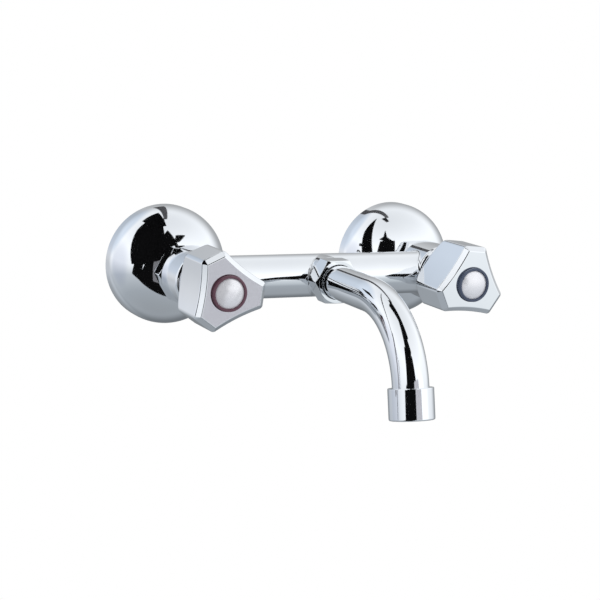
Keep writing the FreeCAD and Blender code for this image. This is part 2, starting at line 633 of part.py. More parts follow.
def stem_rings(side):
    """The spindle's two O-rings."""
    rings = []
    for index, depth in enumerate(stem_ring_depths(), 1):
        name = "%s_stem_ring_%d" % (side, index)
        rings.append(squeezed_ring(name, "Sizes.spindle_radius", "Sizes.stem_ring", depth, SIDE[side]))
    group(side + "_spindle_o_rings", rings)


def retaining_clip(label, inner, outer, back, front, x="0"):
    """An open ring that snaps into a groove; the opening is at the bottom."""
    body = new_body(label, x)
    turn(body, label + "_turned", tube_profile(inner, outer, back, front))
    gap = "%s / 2" % inner
    slot = flat_sketch(body, label + "_slot", back, corners=[
        ("-" + gap, "0"), ("-" + gap, "-(%s) - 1" % outer), (gap, "-(%s) - 1" % outer), (gap, "0"),
    ])
    raise_up(body, label + "_opening", slot, "%s - (%s)" % (front, back), cuts=True)
    node(body, label)


def jumper(side):
    """The piston that carries the washer: a plate and a hexagonal guide with a thread inside."""
    label = side + "_jumper"
    body = new_body(label, SIDE[side])
    plate = flat_sketch(body, label + "_plate_circle", WASHER_FRONT, [("0", "0", "Sizes.jumper_radius")])
    raise_up(body, label + "_plate", plate, "Sizes.jumper_plate")
    guide = flat_sketch(body, label + "_guide_outline", PLATE_FRONT, corners=hexagon("Sizes.jumper_flats"))
    raise_up(body, label + "_guide", guide, "Sizes.jumper_guide")
    bore_floor = PLATE_FRONT + " + Sizes.jumper_plate / 4 - Sizes.face_gap"
    bore = flat_sketch(body, label + "_thread_circle", bore_floor, [
        ("0", "0", "Sizes.spindle_thread + Sizes.thread_gap"),
    ])
    raise_up(body, label + "_thread", bore, "Sizes.jumper_guide + 1", cuts=True)
    tapped = flat_sketch(body, label + "_screw_circle", WASHER_FRONT, [
        ("0", "0", "Sizes.screw_radius + Sizes.thread_gap"),
    ])
    raise_up(body, label + "_screw_hole", tapped, "Sizes.jumper_plate", cuts=True)
    node(body, label)


def jumper_trim(side):
    """The rubber washer that closes the seat and the screw that holds it."""
    turned_part(side + "_jumper_washer", tube_profile(
        "Sizes.screw_radius + Sizes.thread_gap", "Sizes.jumper_washer_radius", SEAT, WASHER_FRONT), SIDE[side])
    head_back = SEAT + " - Sizes.screw_head_height / 2"
    turned_part(side + "_jumper_screw", [
        ("0", head_back),
        ("Sizes.screw_head", head_back),
        ("Sizes.screw_head", SEAT),
        ("Sizes.screw_radius", SEAT),
        ("Sizes.screw_radius", WASHER_FRONT + " + Sizes.jumper_plate * 0.9"),
        ("0", WASHER_FRONT + " + Sizes.jumper_plate * 0.9"),
    ], SIDE[side])


def headwork(side):
    """Makes one valve's headwork with what moves in it."""
    headwork_body(side)
    turned_part(side + "_headwork_gasket", tube_profile(
        "Sizes.headwork_thread + Sizes.guide_gap", "Sizes.headwork_flats / 2 + Sizes.headwork_gasket",
        CHAMBER_FRONT, HEXAGON_BACK), SIDE[side])
    spindle(side)
    stem_rings(side)
    retaining_clip(side + "_spindle_clip", "Sizes.clip_groove + Sizes.running_gap", "Sizes.clip_radius",
                   CLIP_BACK, CLIP_FRONT, SIDE[side])
    jumper(side)
    jumper_trim(side)


# Handles

def lobed_outline(turned):
    """Gives the outline of a handle: three blunt lobes with slightly hollowed sides between them."""
    chord_half = "(Sizes.lobe_reach * sqrt(3) / 2 - Sizes.lobe_width / 4)"
    sag = "(Sizes.lobe_reach / 2 + Sizes.lobe_width * sqrt(3) / 4 - Sizes.waist_reach)"
    hollow = "-((%s^2 + %s^2) / (2 * %s))" % (chord_half, sag, sag)
    reach, half = "Sizes.lobe_reach", "Sizes.lobe_width / 2"
    corners = []
    for index in range(3):
        angle = "(%s + %d)" % (turned, 120 * index)
        along = ("%s * cos(%s)" % (reach, angle), "%s * sin(%s)" % (reach, angle))
        aside = ("%s * sin(%s)" % (half, angle), "%s * cos(%s)" % (half, angle))
        corners.append((along[0] + " + " + aside[0], along[1] + " - " + aside[1]))
        corners.append((along[0] + " - " + aside[0], along[1] + " + " + aside[1], hollow))
    return corners


def handle(side):
    """The hollow cast handle: lobed sides, bevelled front, turned back, splined boss and a seat for the index."""
    label = side + "_handle"
    body = new_body(label, SIDE[side])
    outline = flat_sketch(body, label + "_outline", HANDLE_BACK, corners=lobed_outline(HANDLE_ANGLE[side]))
    block = raise_up(body, label + "_block", outline, "Sizes.handle_length")
    long_edges = []
    for index, edge in enumerate(block.Shape.Edges, 1):
        if isinstance(edge.Curve, Part.Line) and abs(edge.Curve.Direction.y) > 0.999:
            long_edges.append("Edge%d" % index)
    rounded = soften(body, label + "_lobe_rounding", block, long_edges, "Sizes.lobe_rounding")
    front = -value(HANDLE_FRONT)
    front_edges = []
    for index, edge in enumerate(rounded.Shape.Edges, 1):
        box = edge.BoundBox
        if abs(box.YMin - front) < 1e-4 and abs(box.YMax - front) < 1e-4:
            front_edges.append("Edge%d" % index)
    soften(body, label + "_bevel", rounded, front_edges, "Sizes.handle_bevel", kind="Chamfer")
    outside = "Sizes.lobe_reach + 2"
    turn(body, label + "_flare", [
        ("Sizes.handle_base", HANDLE_BACK, "-(2 * Sizes.handle_flare)"),
        (outside, HANDLE_BACK + " + Sizes.handle_flare"),
        (outside + " + 2", HANDLE_BACK + " + Sizes.handle_flare"),
        (outside + " + 2", HANDLE_BACK + " - 1"),
        ("Sizes.handle_base", HANDLE_BACK + " - 1"),
    ], cuts=True)
    turn(body, label + "_hollow", [
        ("0", HANDLE_BACK + " - 1"),
        ("Sizes.handle_hollow", HANDLE_BACK + " - 1"),
        ("Sizes.handle_hollow", HOLLOW_END),
        ("Sizes.handle_boss", HOLLOW_END),
        ("Sizes.handle_boss", BOSS_BACK),
        ("0", BOSS_BACK),
    ], cuts=True)
    socket = flat_sketch(body, label + "_socket_outline", BOSS_BACK, corners=spline_outline(
        "(Sizes.spindle_radius + Sizes.running_gap)", HANDLE_ANGLE[side]))
    raise_up(body, label + "_socket", socket, "%s - (%s)" % (SOCKET_END, BOSS_BACK), cuts=True)
    turn(body, label + "_seat", [
        ("0", SOCKET_END + " - 1"),
        ("Sizes.screw_radius + Sizes.guide_gap", SOCKET_END + " - 1"),
        ("Sizes.screw_radius + Sizes.guide_gap", SCREW_SEAT),
        ("Sizes.screw_head + Sizes.guide_gap", SCREW_SEAT),
        ("Sizes.screw_head + Sizes.guide_gap", RING_SEAT),
        ("Sizes.ring_radius + Sizes.running_gap", RING_SEAT),
        ("Sizes.ring_radius + Sizes.running_gap", HANDLE_FRONT + " + 1"),
        ("0", HANDLE_FRONT + " + 1"),
    ], cuts=True)
    node(body, label)


def handle_trim(side):
    """The screw that holds the handle, and the coloured ring with its light cap that cover it."""
    screw_top = SCREW_SEAT + " + Sizes.screw_head_height"
    turned_part(side + "_handle_screw", [
        ("0", BOSS_BACK + " + 2"),
        ("Sizes.screw_radius", BOSS_BACK + " + 2"),
        ("Sizes.screw_radius", SCREW_SEAT),
        ("Sizes.screw_head", SCREW_SEAT),
        ("Sizes.screw_head", screw_top),
        ("0", screw_top),
    ], SIDE[side])
    ring_inside = "Sizes.ring_radius - Sizes.ring_wall"
    edge = "Sizes.ring_wall / 4"
    turned_part(side + "_index_ring", [
        (ring_inside, RING_SEAT),
        ("Sizes.ring_radius", RING_SEAT),
        ("Sizes.ring_radius", "%s - %s" % (RING_FRONT, edge)),
        ("Sizes.ring_radius - " + edge, RING_FRONT),
        (ring_inside, RING_FRONT),
    ], SIDE[side])
    cap = "(%s - Sizes.running_gap)" % ring_inside
    skirt = "(%s - Sizes.ring_wall)" % cap
    rise = "(2 * Sizes.cap_dome)"
    rim = RING_FRONT + " - Sizes.cap_dome"
    turned_part(side + "_index_cap", [
        (skirt, RING_SEAT),
        (cap, RING_SEAT),
        (cap, rim, "-((%s^2 + %s^2) / (2 * %s))" % (cap, rise, rise)),
        ("0", RING_FRONT + " + Sizes.cap_dome"),
        ("0", rim + " - Sizes.cap_dome"),
        (skirt, rim + " - Sizes.cap_dome"),
    ], SIDE[side])


# Spout

def spout_ring_depths():
    """Gives the depths of the spout's O-rings."""
    middle = "(%s + %s) / 2" % (SPOUT_ROOT, SPIGOT_END)
    return ["(%s - Sizes.spout_ring_pitch / 2)" % middle, "(%s + Sizes.spout_ring_pitch / 2)" % middle]


def spout_tube():
    """The spout: a turned root with grooves, then one tube along a straight, a bend and a short tip."""
    body = new_body("spout_tube")
    floor = "Sizes.spout_radius - Sizes.spout_ring"
    half_groove = "Sizes.spout_ring * 0.75"
    profile = [("Sizes.spout_sleeve_bore", SPOUT_ROOT), ("Sizes.spout_radius", SPOUT_ROOT)]
    for depth in spout_ring_depths():
        profile += [
            ("Sizes.spout_radius", "%s - %s" % (depth, half_groove)),
            (floor, "%s - %s" % (depth, half_groove)),
            (floor, "%s + %s" % (depth, half_groove)),
            ("Sizes.spout_radius", "%s + %s" % (depth, half_groove)),
        ]
    profile += [
        ("Sizes.spout_radius", RETAINER_BACK),
        ("Sizes.retainer_groove", RETAINER_BACK),
        ("Sizes.retainer_groove", RETAINER_FRONT),
        ("Sizes.spout_radius", RETAINER_FRONT),
        ("Sizes.spout_radius", SPOUT_NUT_FRONT),
        ("Sizes.spout_radius - Sizes.spout_wall", SPOUT_NUT_FRONT),
        ("Sizes.spout_sleeve_bore", RETAINER_FRONT),
    ]
    turn(body, "spout_root", profile)
    path = draw(new_sketch(body, "spout_path", "YZ_Plane"), [
        ("-(%s)" % SPOUT_NUT_FRONT, "0"),
        ("-Sizes.bend_start", "0", "Sizes.bend_radius"),
        ("-" + SPOUT_END_DEPTH, "-" + SPOUT_END_DROP),
        ("-%s - Sizes.bush_length * cos(Sizes.bend_angle)" % SPOUT_END_DEPTH,
         "-%s - Sizes.bush_length * sin(Sizes.bend_angle)" % SPOUT_END_DROP),
    ], closed=False)
    section = flat_sketch(body, "spout_section", SPOUT_NUT_FRONT, [
        ("0", "0", "Sizes.spout_radius"), ("0", "0", "Sizes.spout_radius - Sizes.spout_wall"),
    ])
    doc.recompute()
    before = body.Shape.Volume
    pipe = body.newObject("PartDesign::AdditivePipe", "spout_bend")
    pipe.Profile = section
    pipe.Spine = (path, ["Edge1", "Edge2", "Edge3"])
    pipe.Mode = "Frenet"
    settle(pipe, before, False)
    area = math.pi * (value("Sizes.spout_radius")**2 - value("Sizes.spout_radius - Sizes.spout_wall")**2)
    print("spout tube volume / section times length: %.4f" % ((body.Shape.Volume - before) / (area * path.Shape.Length)))
    node(body, "spout_tube")


def spout_joint():
    """What joins the spout to the body: O-rings, a split retaining ring and the spout nut."""
    rings = []
    for index, depth in enumerate(spout_ring_depths(), 1):
        rings.append(squeezed_ring("spout_ring_%d" % index, "Sizes.spout_radius", "Sizes.spout_ring", depth))
    group("spout_o_rings", rings)
    retaining_clip("spout_retaining_ring", "Sizes.retainer_groove + Sizes.running_gap", "Sizes.retainer_radius",
                   RETAINER_BACK, RETAINER_FRONT)
    hexagonal_nut("spout_nut", "0", "Sizes.spout_nut_flats", SPOUT_NUT_BACK, SPOUT_NUT_FRONT,
                  "Sizes.spout_thread + Sizes.thread_gap", "Sizes.spout_radius + Sizes.spout_nut_gap", SPOUT_LIP_BACK)


def tip_body(name):
    """Starts a body whose depth runs along the spout's end, from the end of the bend."""
    made = doc.addObject("PartDesign::Body", name)
    tilt = FreeCAD.Rotation(FreeCAD.Vector(1, 0, 0), value("Sizes.bend_angle"))
    made.Placement = FreeCAD.Placement(FreeCAD.Vector(), tilt)
    made.setExpression(".Placement.Base.y", "-" + SPOUT_END_DEPTH)
    made.setExpression(".Placement.Base.z", "-" + SPOUT_END_DROP)
    made.setExpression(".Placement.Rotation.Angle", "Sizes.bend_angle")
    return made


def tip_part(label, profile):
    """Makes a turned sub-part on the spout's end."""
    body = tip_body(label)
    turn(body, label + "_turned", profile)
    return node(body, label)


def aerator():
    """The brazed end bush with its thread, and the aerator that is screwed onto it."""
    thread = BUSH_RADIUS + " + Sizes.thread_gap"
    lip_hole = BUSH_RADIUS + " - Sizes.aerator_lip"
    edge = "Sizes.aerator_lip / 2"
    washer_end = "Sizes.bush_length + Sizes.aerator_washer"
    insert_end = "Sizes.aerator_length - Sizes.outlet_recess"
    tip_part("spout_end_bush", tube_profile(
        "Sizes.spout_radius + Sizes.bush_gap", BUSH_RADIUS, "0", "Sizes.bush_length"))
    tip_part("aerator_housing", [
        (thread, "0"),
        ("%s - %s / 2" % (AERATOR_RADIUS, edge), "0"),
        (AERATOR_RADIUS, edge),
        (AERATOR_RADIUS, "Sizes.aerator_length - " + edge),
        (AERATOR_RADIUS + " - " + edge, "Sizes.aerator_length"),
        (lip_hole, "Sizes.aerator_length"),
        (lip_hole, insert_end),
        (thread, insert_end),
    ])
    tip_part("aerator_washer", tube_profile(
        "Sizes.spout_radius - Sizes.spout_wall", BUSH_RADIUS, "Sizes.bush_length", washer_end))
    body = tip_body("aerator_insert")
    turn(body, "insert_cup", [
        ("0", insert_end),
        (BUSH_RADIUS, insert_end),
        (BUSH_RADIUS, washer_end),
        (lip_hole, washer_end),
        (lip_hole, "(%s + %s) / 2" % (washer_end, insert_end)),
        ("0", "(%s + %s) / 2" % (washer_end, insert_end)),
    ])
    pitch = "(Sizes.insert_cell + Sizes.insert_rib)"
    for column in range(-2, 3):
        name = "insert_column_%d" % (column + 3)
        cells = new_sketch(body, name + "_cells", "XZ_Plane", lift=washer_end)
        for step in range(5 - abs(column)):
            x = "%d * %s * sqrt(3) / 2" % (column, pitch)
            y = "%g * %s" % (step - 2 + abs(column) / 2, pitch)
            draw(cells, hexagon("Sizes.insert_cell", x, y))
        raise_up(body, name, cells, "%s - (%s)" % (insert_end, washer_end), cuts=True)
    node(body, "aerator_insert")


for side in SIDE:
    inlet(side)
mixer_body()
for side in SIDE:
    headwork(side)
    handle(side)
    handle_trim(side)
spout_tube()
spout_joint()
aerator()
doc.recompute()

for item in doc.Objects:
    if "Invalid" in item.State or "Error" in item.State:
        raise ValueError("%s did not compute: %s" % (item.Name, item.State))
for item in nodes:
    if item.Shape.isNull() or not item.Shape.isValid() or not item.Shape.Solids:
        raise ValueError("%s has no sound shape" % item.Label)

os.makedirs("parts", exist_ok=True)
for item in nodes:
    item.Shape.exportStep(os.path.join("parts", item.Label + ".step"))
print("%d sub-parts" % len(nodes))
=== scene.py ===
"""Looks of a wall-mounted basin mixer tap with two lobed handles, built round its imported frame.

The row frame is used throughout: +X is right and +Z is up for someone who faces the wall, the wall plane is
Y = 0 and the tap stands out towards -Y. Sizes are in millimetres, and a "depth" is a distance out of the
wall. Every piece is a surface of two parameters, worked out as whole arrays and laid on a closed grid.
"""

from __future__ import annotations

import json
import logging
from collections.abc import Callable
from dataclasses import dataclass, field
from enum import Enum

import bpy
import numpy as np
from mathutils import Matrix, Vector

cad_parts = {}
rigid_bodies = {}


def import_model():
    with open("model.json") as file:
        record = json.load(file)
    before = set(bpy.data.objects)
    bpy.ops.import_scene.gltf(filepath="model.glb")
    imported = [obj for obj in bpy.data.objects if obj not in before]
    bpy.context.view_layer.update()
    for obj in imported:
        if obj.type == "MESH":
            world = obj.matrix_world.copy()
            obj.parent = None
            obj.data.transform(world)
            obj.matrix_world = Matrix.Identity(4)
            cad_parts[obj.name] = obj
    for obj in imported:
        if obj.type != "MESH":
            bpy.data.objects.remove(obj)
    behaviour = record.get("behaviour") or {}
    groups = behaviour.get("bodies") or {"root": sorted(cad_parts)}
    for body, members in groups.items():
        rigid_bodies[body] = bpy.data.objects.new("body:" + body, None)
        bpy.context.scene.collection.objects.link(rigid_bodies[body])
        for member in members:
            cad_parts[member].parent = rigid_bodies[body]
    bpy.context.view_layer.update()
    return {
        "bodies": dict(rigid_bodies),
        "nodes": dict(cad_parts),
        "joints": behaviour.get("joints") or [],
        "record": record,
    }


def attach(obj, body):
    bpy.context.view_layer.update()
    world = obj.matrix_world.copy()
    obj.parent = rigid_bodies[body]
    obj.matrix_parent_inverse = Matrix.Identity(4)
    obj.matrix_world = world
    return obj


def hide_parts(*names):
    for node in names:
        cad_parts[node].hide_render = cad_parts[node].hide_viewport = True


MM = 0.001  # a millimetre in Blender's metres
TINY = 1e-9  # keeps a division by a length off zero
SMALL = 1e-6  # keeps an angle or a sine off zero
SAME_PLACE = 1e-5  # points that lie nearer than this, in millimetres, count as one
LOG = logging.getLogger("basin_mixer_tap")

Array = np.ndarray
Socket = bpy.types.NodeSocket
Triple = tuple[float, float, float]


# Surfaces

class Ends(Enum):
    """How the first and the last row of a grid are closed."""

    LOOP = "the rows join up on themselves"
    POLES = "each end runs together in one point"


class Side(Enum):
    """The two sides of the tap, as seen by someone who faces the wall."""

    LEFT = "left"
    RIGHT = "right"

    @property
    def sign(self) -> int:
        """Gives -1 on the left and +1 on the right."""
        return -1 if self is Side.LEFT else 1

    def named(self, piece: str) -> str:
        """Puts the side before the name of a piece."""
        return "%s_%s" % (self.value, piece)


def joined(*parts: Array | float) -> Array:
    """Joins coordinates into points, with the coordinates as the last dimension."""
    return np.stack(np.broadcast_arrays(*parts), axis=-1)


def full_turn(count: int) -> Array:
    """Gives evenly spaced angles of one whole turn, without its last point."""
    return np.arange(count) * (2 * np.pi / count)


def polar(angle: Array) -> Array:
    """Gives unit directions in a plane, (cosine, sine) of each angle."""
    return joined(np.cos(angle), np.sin(angle))


def arc_corners(centre: tuple[float, float], radius: float, start: float, stop: float, count: int,
                last: float = 0.0) -> Array:
    """Gives corners on an arc: the centre plus the radius times (cosine, sine) of evenly spaced angles.

    Args:
        centre: centre of the arc.
        radius: its radius.
        start: first angle, in degrees.
        stop: last angle, in degrees.
        count: how many corners it has.
        last: rounding of the last corner; the others have none.

    Returns:
        The corners as (radius, station, rounding).
    """
    corners = np.pad(polar(np.radians(np.linspace(start, stop, count))) * radius + centre, ((0, 0), (0, 1)))
    corners[-1, 2] = last
    return corners


def out_of_wall(x: Array, depth: Array, height: Array) -> Array:
    """Puts places in the row frame, where a depth d lies at Y = -d."""
    return joined(x, -depth, height)


@dataclass(frozen=True)
class Axis:
    """A straight axis: stations run along it and angles turn about it, from `first`."""

    origin: Triple = (0.0, 0.0, 0.0)
    along: Triple = (0.0, -1.0, 0.0)
    first: Triple = (1.0, 0.0, 0.0)

    def place(self, radius: Array, station: Array, angle: Array) -> Array:
        """Puts polar places in the row frame.

        The point is the origin, plus the station along the axis, plus the radius times
        (cosine of the angle along `first`, sine of it across `first`).

        Args:
            radius: distances from the axis.
            station: distances along the axis.
            angle: angles about the axis, in radians.

        Returns:
            Points in millimetres, with the three coordinates as the last dimension.
        """
        along, first = np.array(self.along), np.array(self.first)
        second = np.cross(along, first)
        radius, station, angle = np.broadcast_arrays(radius, station, angle)
        across = np.cos(angle)[..., None] * first + np.sin(angle)[..., None] * second
        return np.array(self.origin) + station[..., None] * along + radius[..., None] * across


@dataclass(frozen=True)
class RoundedCylinder:
    """A cylinder that reaches as far behind as in front, with rounded edges."""

    radius: float
    half: float
    edge: float

    def gap(self, radial: Array, depth: Array) -> tuple[Array, Array]:
        """Gives the distance from the cylinder and the direction away from it.

        Outside the inner cylinder, which is smaller by the edge rounding, the distance is the length of the
        overshoot in radius and in depth, less the rounding.

        Args:
            radial: distances from the cylinder's axis.
            depth: depths measured from its middle.

        Returns:
            The distances, and the direction as (radial, depth) parts.
        """
        over = joined(radial - (self.radius - self.edge), np.abs(depth) - (self.half - self.edge))
        out = np.maximum(over, 0.0)
        size = np.linalg.norm(out, axis=-1)
        away = out / np.maximum(size, TINY)[..., None]
        away[..., 1] *= np.sign(depth)
        return size - self.edge, away


def halve(near: Callable[[Array], Array], low: Array, high: Array, steps: int = 40) -> Array:
    """Finds by halving the last place between two that is still near.

    Args:
        near: tells which of the given places are near.
        low: places that are near.
        high: places that are not.
        steps: how often the range is halved.

    Returns:
        The last near places.
    """
    for _ in range(steps):
        middle = (low + high) / 2
        found = near(middle)
        low, high = np.where(found, middle, low), np.where(found, high, middle)
    return low


def rolled_arc(centre: Array, start: Array, stop: Array, radius: float, steps: int) -> Array:
    """Gives rows of points on a rolling ball between two unit directions.

    The direction turns evenly from one to the other: it is the sum of both, each weighted by the sine of its
    share of the angle between them.

    Args:
        centre: the ball's centres.
        start: unit directions of the first touching points.
        stop: unit directions of the last touching points.
        radius: the ball's radius.
        steps: facets in the arc.

    Returns:
        Points shaped (steps + 1, places, 3).
    """
    turn = np.arccos(np.clip((start * stop).sum(-1), -1.0, 1.0))[None, :, None]
    share = np.linspace(0.0, 1.0, steps + 1)[:, None, None]
    direction = np.sin((1 - share) * turn) * start + np.sin(share * turn) * stop
    return centre + radius * (direction / np.maximum(np.sin(turn), TINY))


def round_off(corners: Array, radii: Array, steps: int = 5, support: float = 0.3,
              closed: bool = True) -> Array:
    """Rounds the corners of an outline, or of many outlines at once.

    An arc touches both edges of its corner: it starts at the radius divided by the tangent of half the
    corner's angle, its centre lies on the bisector, and its points turn evenly from one tangent point to the
    other. An arc takes no more than a fixed share of an edge. A support point on each side of the arc keeps
    the edges beside it flat when they are shaded.

    Args:
        corners: places of the corners, shaped (..., corners, 2).
        radii: one radius for each corner; 0 leaves a point as it is.
        steps: facets in each arc.
        support: distance of the support points from the arc.
        closed: whether the last corner joins the first.

    Returns:
        The rounded outline, shaped (..., points, 2).
    """
    arc_limit, support_limit = 0.42, 0.462
    before = np.roll(corners, 1, axis=-2) - corners
    after = np.roll(corners, -1, axis=-2) - corners
    if not closed:
        before[..., 0, :] = -after[..., 0, :]
        after[..., -1, :] = -before[..., -1, :]
    reach_before = np.linalg.norm(before, axis=-1, keepdims=True)
    reach_after = np.linalg.norm(after, axis=-1, keepdims=True)
    before, after = before / reach_before, after / reach_after
    half = np.arccos(np.clip((before * after).sum(-1, keepdims=True), -1.0, 1.0)) / 2
    shorter = np.minimum(reach_before, reach_after)
    wanted = np.asarray(radii, float)[:, None] / np.tan(half)
    length = np.minimum(wanted, arc_limit * shorter)
    spare = np.where(wanted > 0, np.minimum(support, 0.5 * (support_limit * shorter - length)), 0.0)
    middle = before + after
    middle = middle / np.maximum(np.linalg.norm(middle, axis=-1, keepdims=True), TINY)
    centre = middle * length / np.maximum(np.cos(half), TINY)
    start, stop = before * length - centre, after * length - centre
    turn = np.maximum(np.pi - 2 * half, SMALL)
    share = np.linspace(0.0, 1.0, steps + 1)[:, None]
    arc = (np.sin((1 - share) * turn[..., None, :]) * start[..., None, :]
           + np.sin(share * turn[..., None, :]) * stop[..., None, :]) / np.sin(turn)[..., None, :]
    arc = centre[..., None, :] + arc
    first = (before * (length + spare))[..., None, :]
    last = (after * (length + spare))[..., None, :]
    points = corners[..., None, :] + np.concatenate([first, arc, last], axis=-2)
    points = points.reshape(*corners.shape[:-2], -1, 2)
    if points.ndim == 2:
        step = np.linalg.norm(points - np.roll(points, 1, axis=0), axis=-1)
        points = points[step > SAME_PLACE]
    return points


def rounded(corners: list[Triple] | Array, steps: int = 5, support: float = 0.3,
            closed: bool = True) -> Array:
    """Rounds an outline whose corners are given as (radius, station, rounding)."""
    corners = np.array(corners)
    return round_off(corners[:, :2], corners[:, 2], steps, support, closed)


@dataclass
class Shell:
    """One closed surface as vertices in millimetres and faces with three or four corners."""

    points: Array
    faces: list[list[int]]

    @staticmethod
    def from_grid(grid: Array, ends: Ends = Ends.LOOP) -> Shell:
        """Closes a grid of points into a shell whose faces point outwards.

        Each face joins four neighbours of the grid. Columns always run round. The volume under the faces, the
        sum of the triple products of their corners, is negative when they point inwards, and they are then
        turned.

        Args:
            grid: points shaped (rows, columns, 3).
            ends: how the first and last rows are closed.

        Returns:
            The closed shell.
        """
        rows, columns = grid.shape[:2]
        number = np.arange(rows * columns).reshape(rows, columns)
        if ends is Ends.POLES:
            number[0], number[-1] = number[0, 0], number[-1, 0]
            low, high = number[:-1], number[1:]
        else:
            low, high = number, np.roll(number, -1, axis=0)
        quads = joined(low, np.roll(low, -1, 1), np.roll(high, -1, 1), high)
        points = grid.reshape(-1, 3)
        corner = points[quads.reshape(-1, 4)]
        volume = (np.cross(corner[:, 0], corner[:, 1]) * corner[:, 2]).sum()
        volume += (np.cross(corner[:, 0], corner[:, 2]) * corner[:, 3]).sum()
        parts = [quads.reshape(-1, 4)]
        if ends is Ends.POLES:
            parts = [quads[1:-1].reshape(-1, 4), quads[0][:, [0, 2, 3]], quads[-1][:, [0, 1, 2]]]
        if volume < 0:
            parts = [part[:, ::-1] for part in parts]
        used, flat = np.unique(np.concatenate([part.ravel() for part in parts]), return_inverse=True)
        faces, start = [], 0
        for part in parts:
            faces += flat[start:start + part.size].reshape(part.shape).tolist()
            start += part.size
        return Shell(points[used], faces)


def turned(profile: Array, axis: Axis, columns: int = 96, ends: Ends = Ends.LOOP) -> Shell:
    """Carries a profile of (radius, station) points once round an axis."""
    return Shell.from_grid(axis.place(profile[:, :1], profile[:, 1:], full_turn(columns)[None, :]), ends)


def add_object(name: str, data: bpy.types.ID) -> bpy.types.Object:
    """Adds an object to the scene.

    Args:
        name: name of the object.
        data: its mesh, camera or light.

    Returns:
        The new object, at the origin.
    """
    made = bpy.data.objects.new(name, data)
    bpy.context.scene.collection.objects.link(made)
    return made


# Node graphs and finishes

class Graph:
    """Adds nodes to a node tree and joins them."""

    def __init__(self, tree: bpy.types.NodeTree) -> None:
        """Keeps the tree that the nodes go into."""
        self.tree = tree

    def add(self, kind: str, inputs: dict[str, object] | None = None, **settings: object) -> bpy.types.Node:
        """Adds one node.

        Args:
            kind: Blender's name of the node type.
            inputs: values or output sockets by input name or number.
            settings: attributes of the node itself.

        Returns:
            The new node.
        """
        node = self.tree.nodes.new(kind)
        for key, setting in settings.items():
            setattr(node, key, setting)
        for key, given in (inputs or {}).items():
            socket = node.inputs[int(key)] if key.isdigit() else node.inputs[key]
            if isinstance(given, Socket):
                self.join(given, socket)
            else:
                socket.default_value = given
        return node

    def join(self, start: Socket, end: Socket) -> None:
        """Joins an output to an input."""
        self.tree.links.new(start, end)

    def math(self, operation: str, *given: object, vector: bool = False, clamp: bool = False) -> Socket:
        """Adds a calculation.

        Args:
            operation: Blender's name of the calculation.
            given: its values or output sockets, in order.
            vector: whether it works on vectors.
            clamp: whether a number is held between 0 and 1.

        Returns:
            Its result.
        """
        inputs = {str(number): each for number, each in enumerate(given)}
        if vector:
            node = self.add("ShaderNodeVectorMath", inputs, operation=operation)
            return node.outputs["Value" if operation == "DOT_PRODUCT" else "Vector"]
        return self.add("ShaderNodeMath", inputs, operation=operation, use_clamp=clamp).outputs[0]

    def spread(self, given: Socket, low: float, high: float | Socket,
               to: tuple[float | Socket, float | Socket] = (0.0, 1.0), kind: str = "LINEAR") -> Socket:
        """Spreads the numbers from low to high over another range, and holds them inside it."""
        inputs = {"Value": given, "From Min": low, "From Max": high, "To Min": to[0], "To Max": to[1]}
        return self.add("ShaderNodeMapRange", inputs, interpolation_type=kind).outputs[0]

    def noise(self, place: Socket, scale: float | Socket, detail: float, roughness: float = 0.5) -> Socket:
        """Adds a noise with finer layers, read at the given places, and gives its value."""
        inputs = {"Vector": place, "Scale": scale, "Detail": detail, "Roughness": roughness}
        return self.add("ShaderNodeTexNoise", inputs).outputs["Fac"]

    def ramp(self, factor: Socket, stops: list[tuple[float, Triple]]) -> Socket:
        """Adds a colour ramp.

        Args:
            factor: place on the ramp.
            stops: places and colours of its stops.

        Returns:
            Its colour.
        """
        node = self.add("ShaderNodeValToRGB", {"Fac": factor})
        while len(node.color_ramp.elements) < len(stops):
            node.color_ramp.elements.new(0.5)
        for element, (place, colour) in zip(node.color_ramp.elements, stops):
            element.position = place
            element.color = (*colour, 1.0)
        return node.outputs["Color"]


class Effect(Enum):
    """Shader effects that several finishes share, each built once as a node group."""

    HAZE = "polishing haze"
    WAVES = "soft waviness"
    GRAIN = "fine grain"
    SCRATCHES = "fine scratches"

    def group(self, outputs: tuple[str, ...],
              **values: float) -> tuple[Graph, bpy.types.NodeOutputs, bpy.types.NodeInputs]:
        """Starts the effect's node group.

        Args:
            outputs: names of its outputs.
            values: names and defaults of its inputs beside the vector.

        Returns:
            Its graph, the sockets that its inputs give and the sockets that its outputs take, by name.
        """
        tree = bpy.data.node_groups.new(self.value, "ShaderNodeTree")
        tree.interface.new_socket("Vector", in_out="INPUT", socket_type="NodeSocketVector")
        for name, default in values.items():
            socket = tree.interface.new_socket(name, in_out="INPUT", socket_type="NodeSocketFloat")
            socket.default_value = default
        for name in outputs:
            tree.interface.new_socket(name, in_out="OUTPUT", socket_type="NodeSocketFloat")
        graph = Graph(tree)
        return graph, graph.add("NodeGroupInput").outputs, graph.add("NodeGroupOutput").inputs

    def place(self, graph: Graph, vector: Socket, **values: float) -> bpy.types.NodeOutputs:
        """Places the effect in a material.

        Args:
            graph: the material's graph.
            vector: coordinates that the effect reads.
            values: the material's own values for its inputs.

        Returns:
            The outputs of the effect.
        """
        node = graph.add("ShaderNodeGroup", node_tree=bpy.data.node_groups[self.value])
        graph.join(vector, node.inputs["Vector"])
        for name, number in values.items():
            node.inputs[name].default_value = number
        return node.outputs


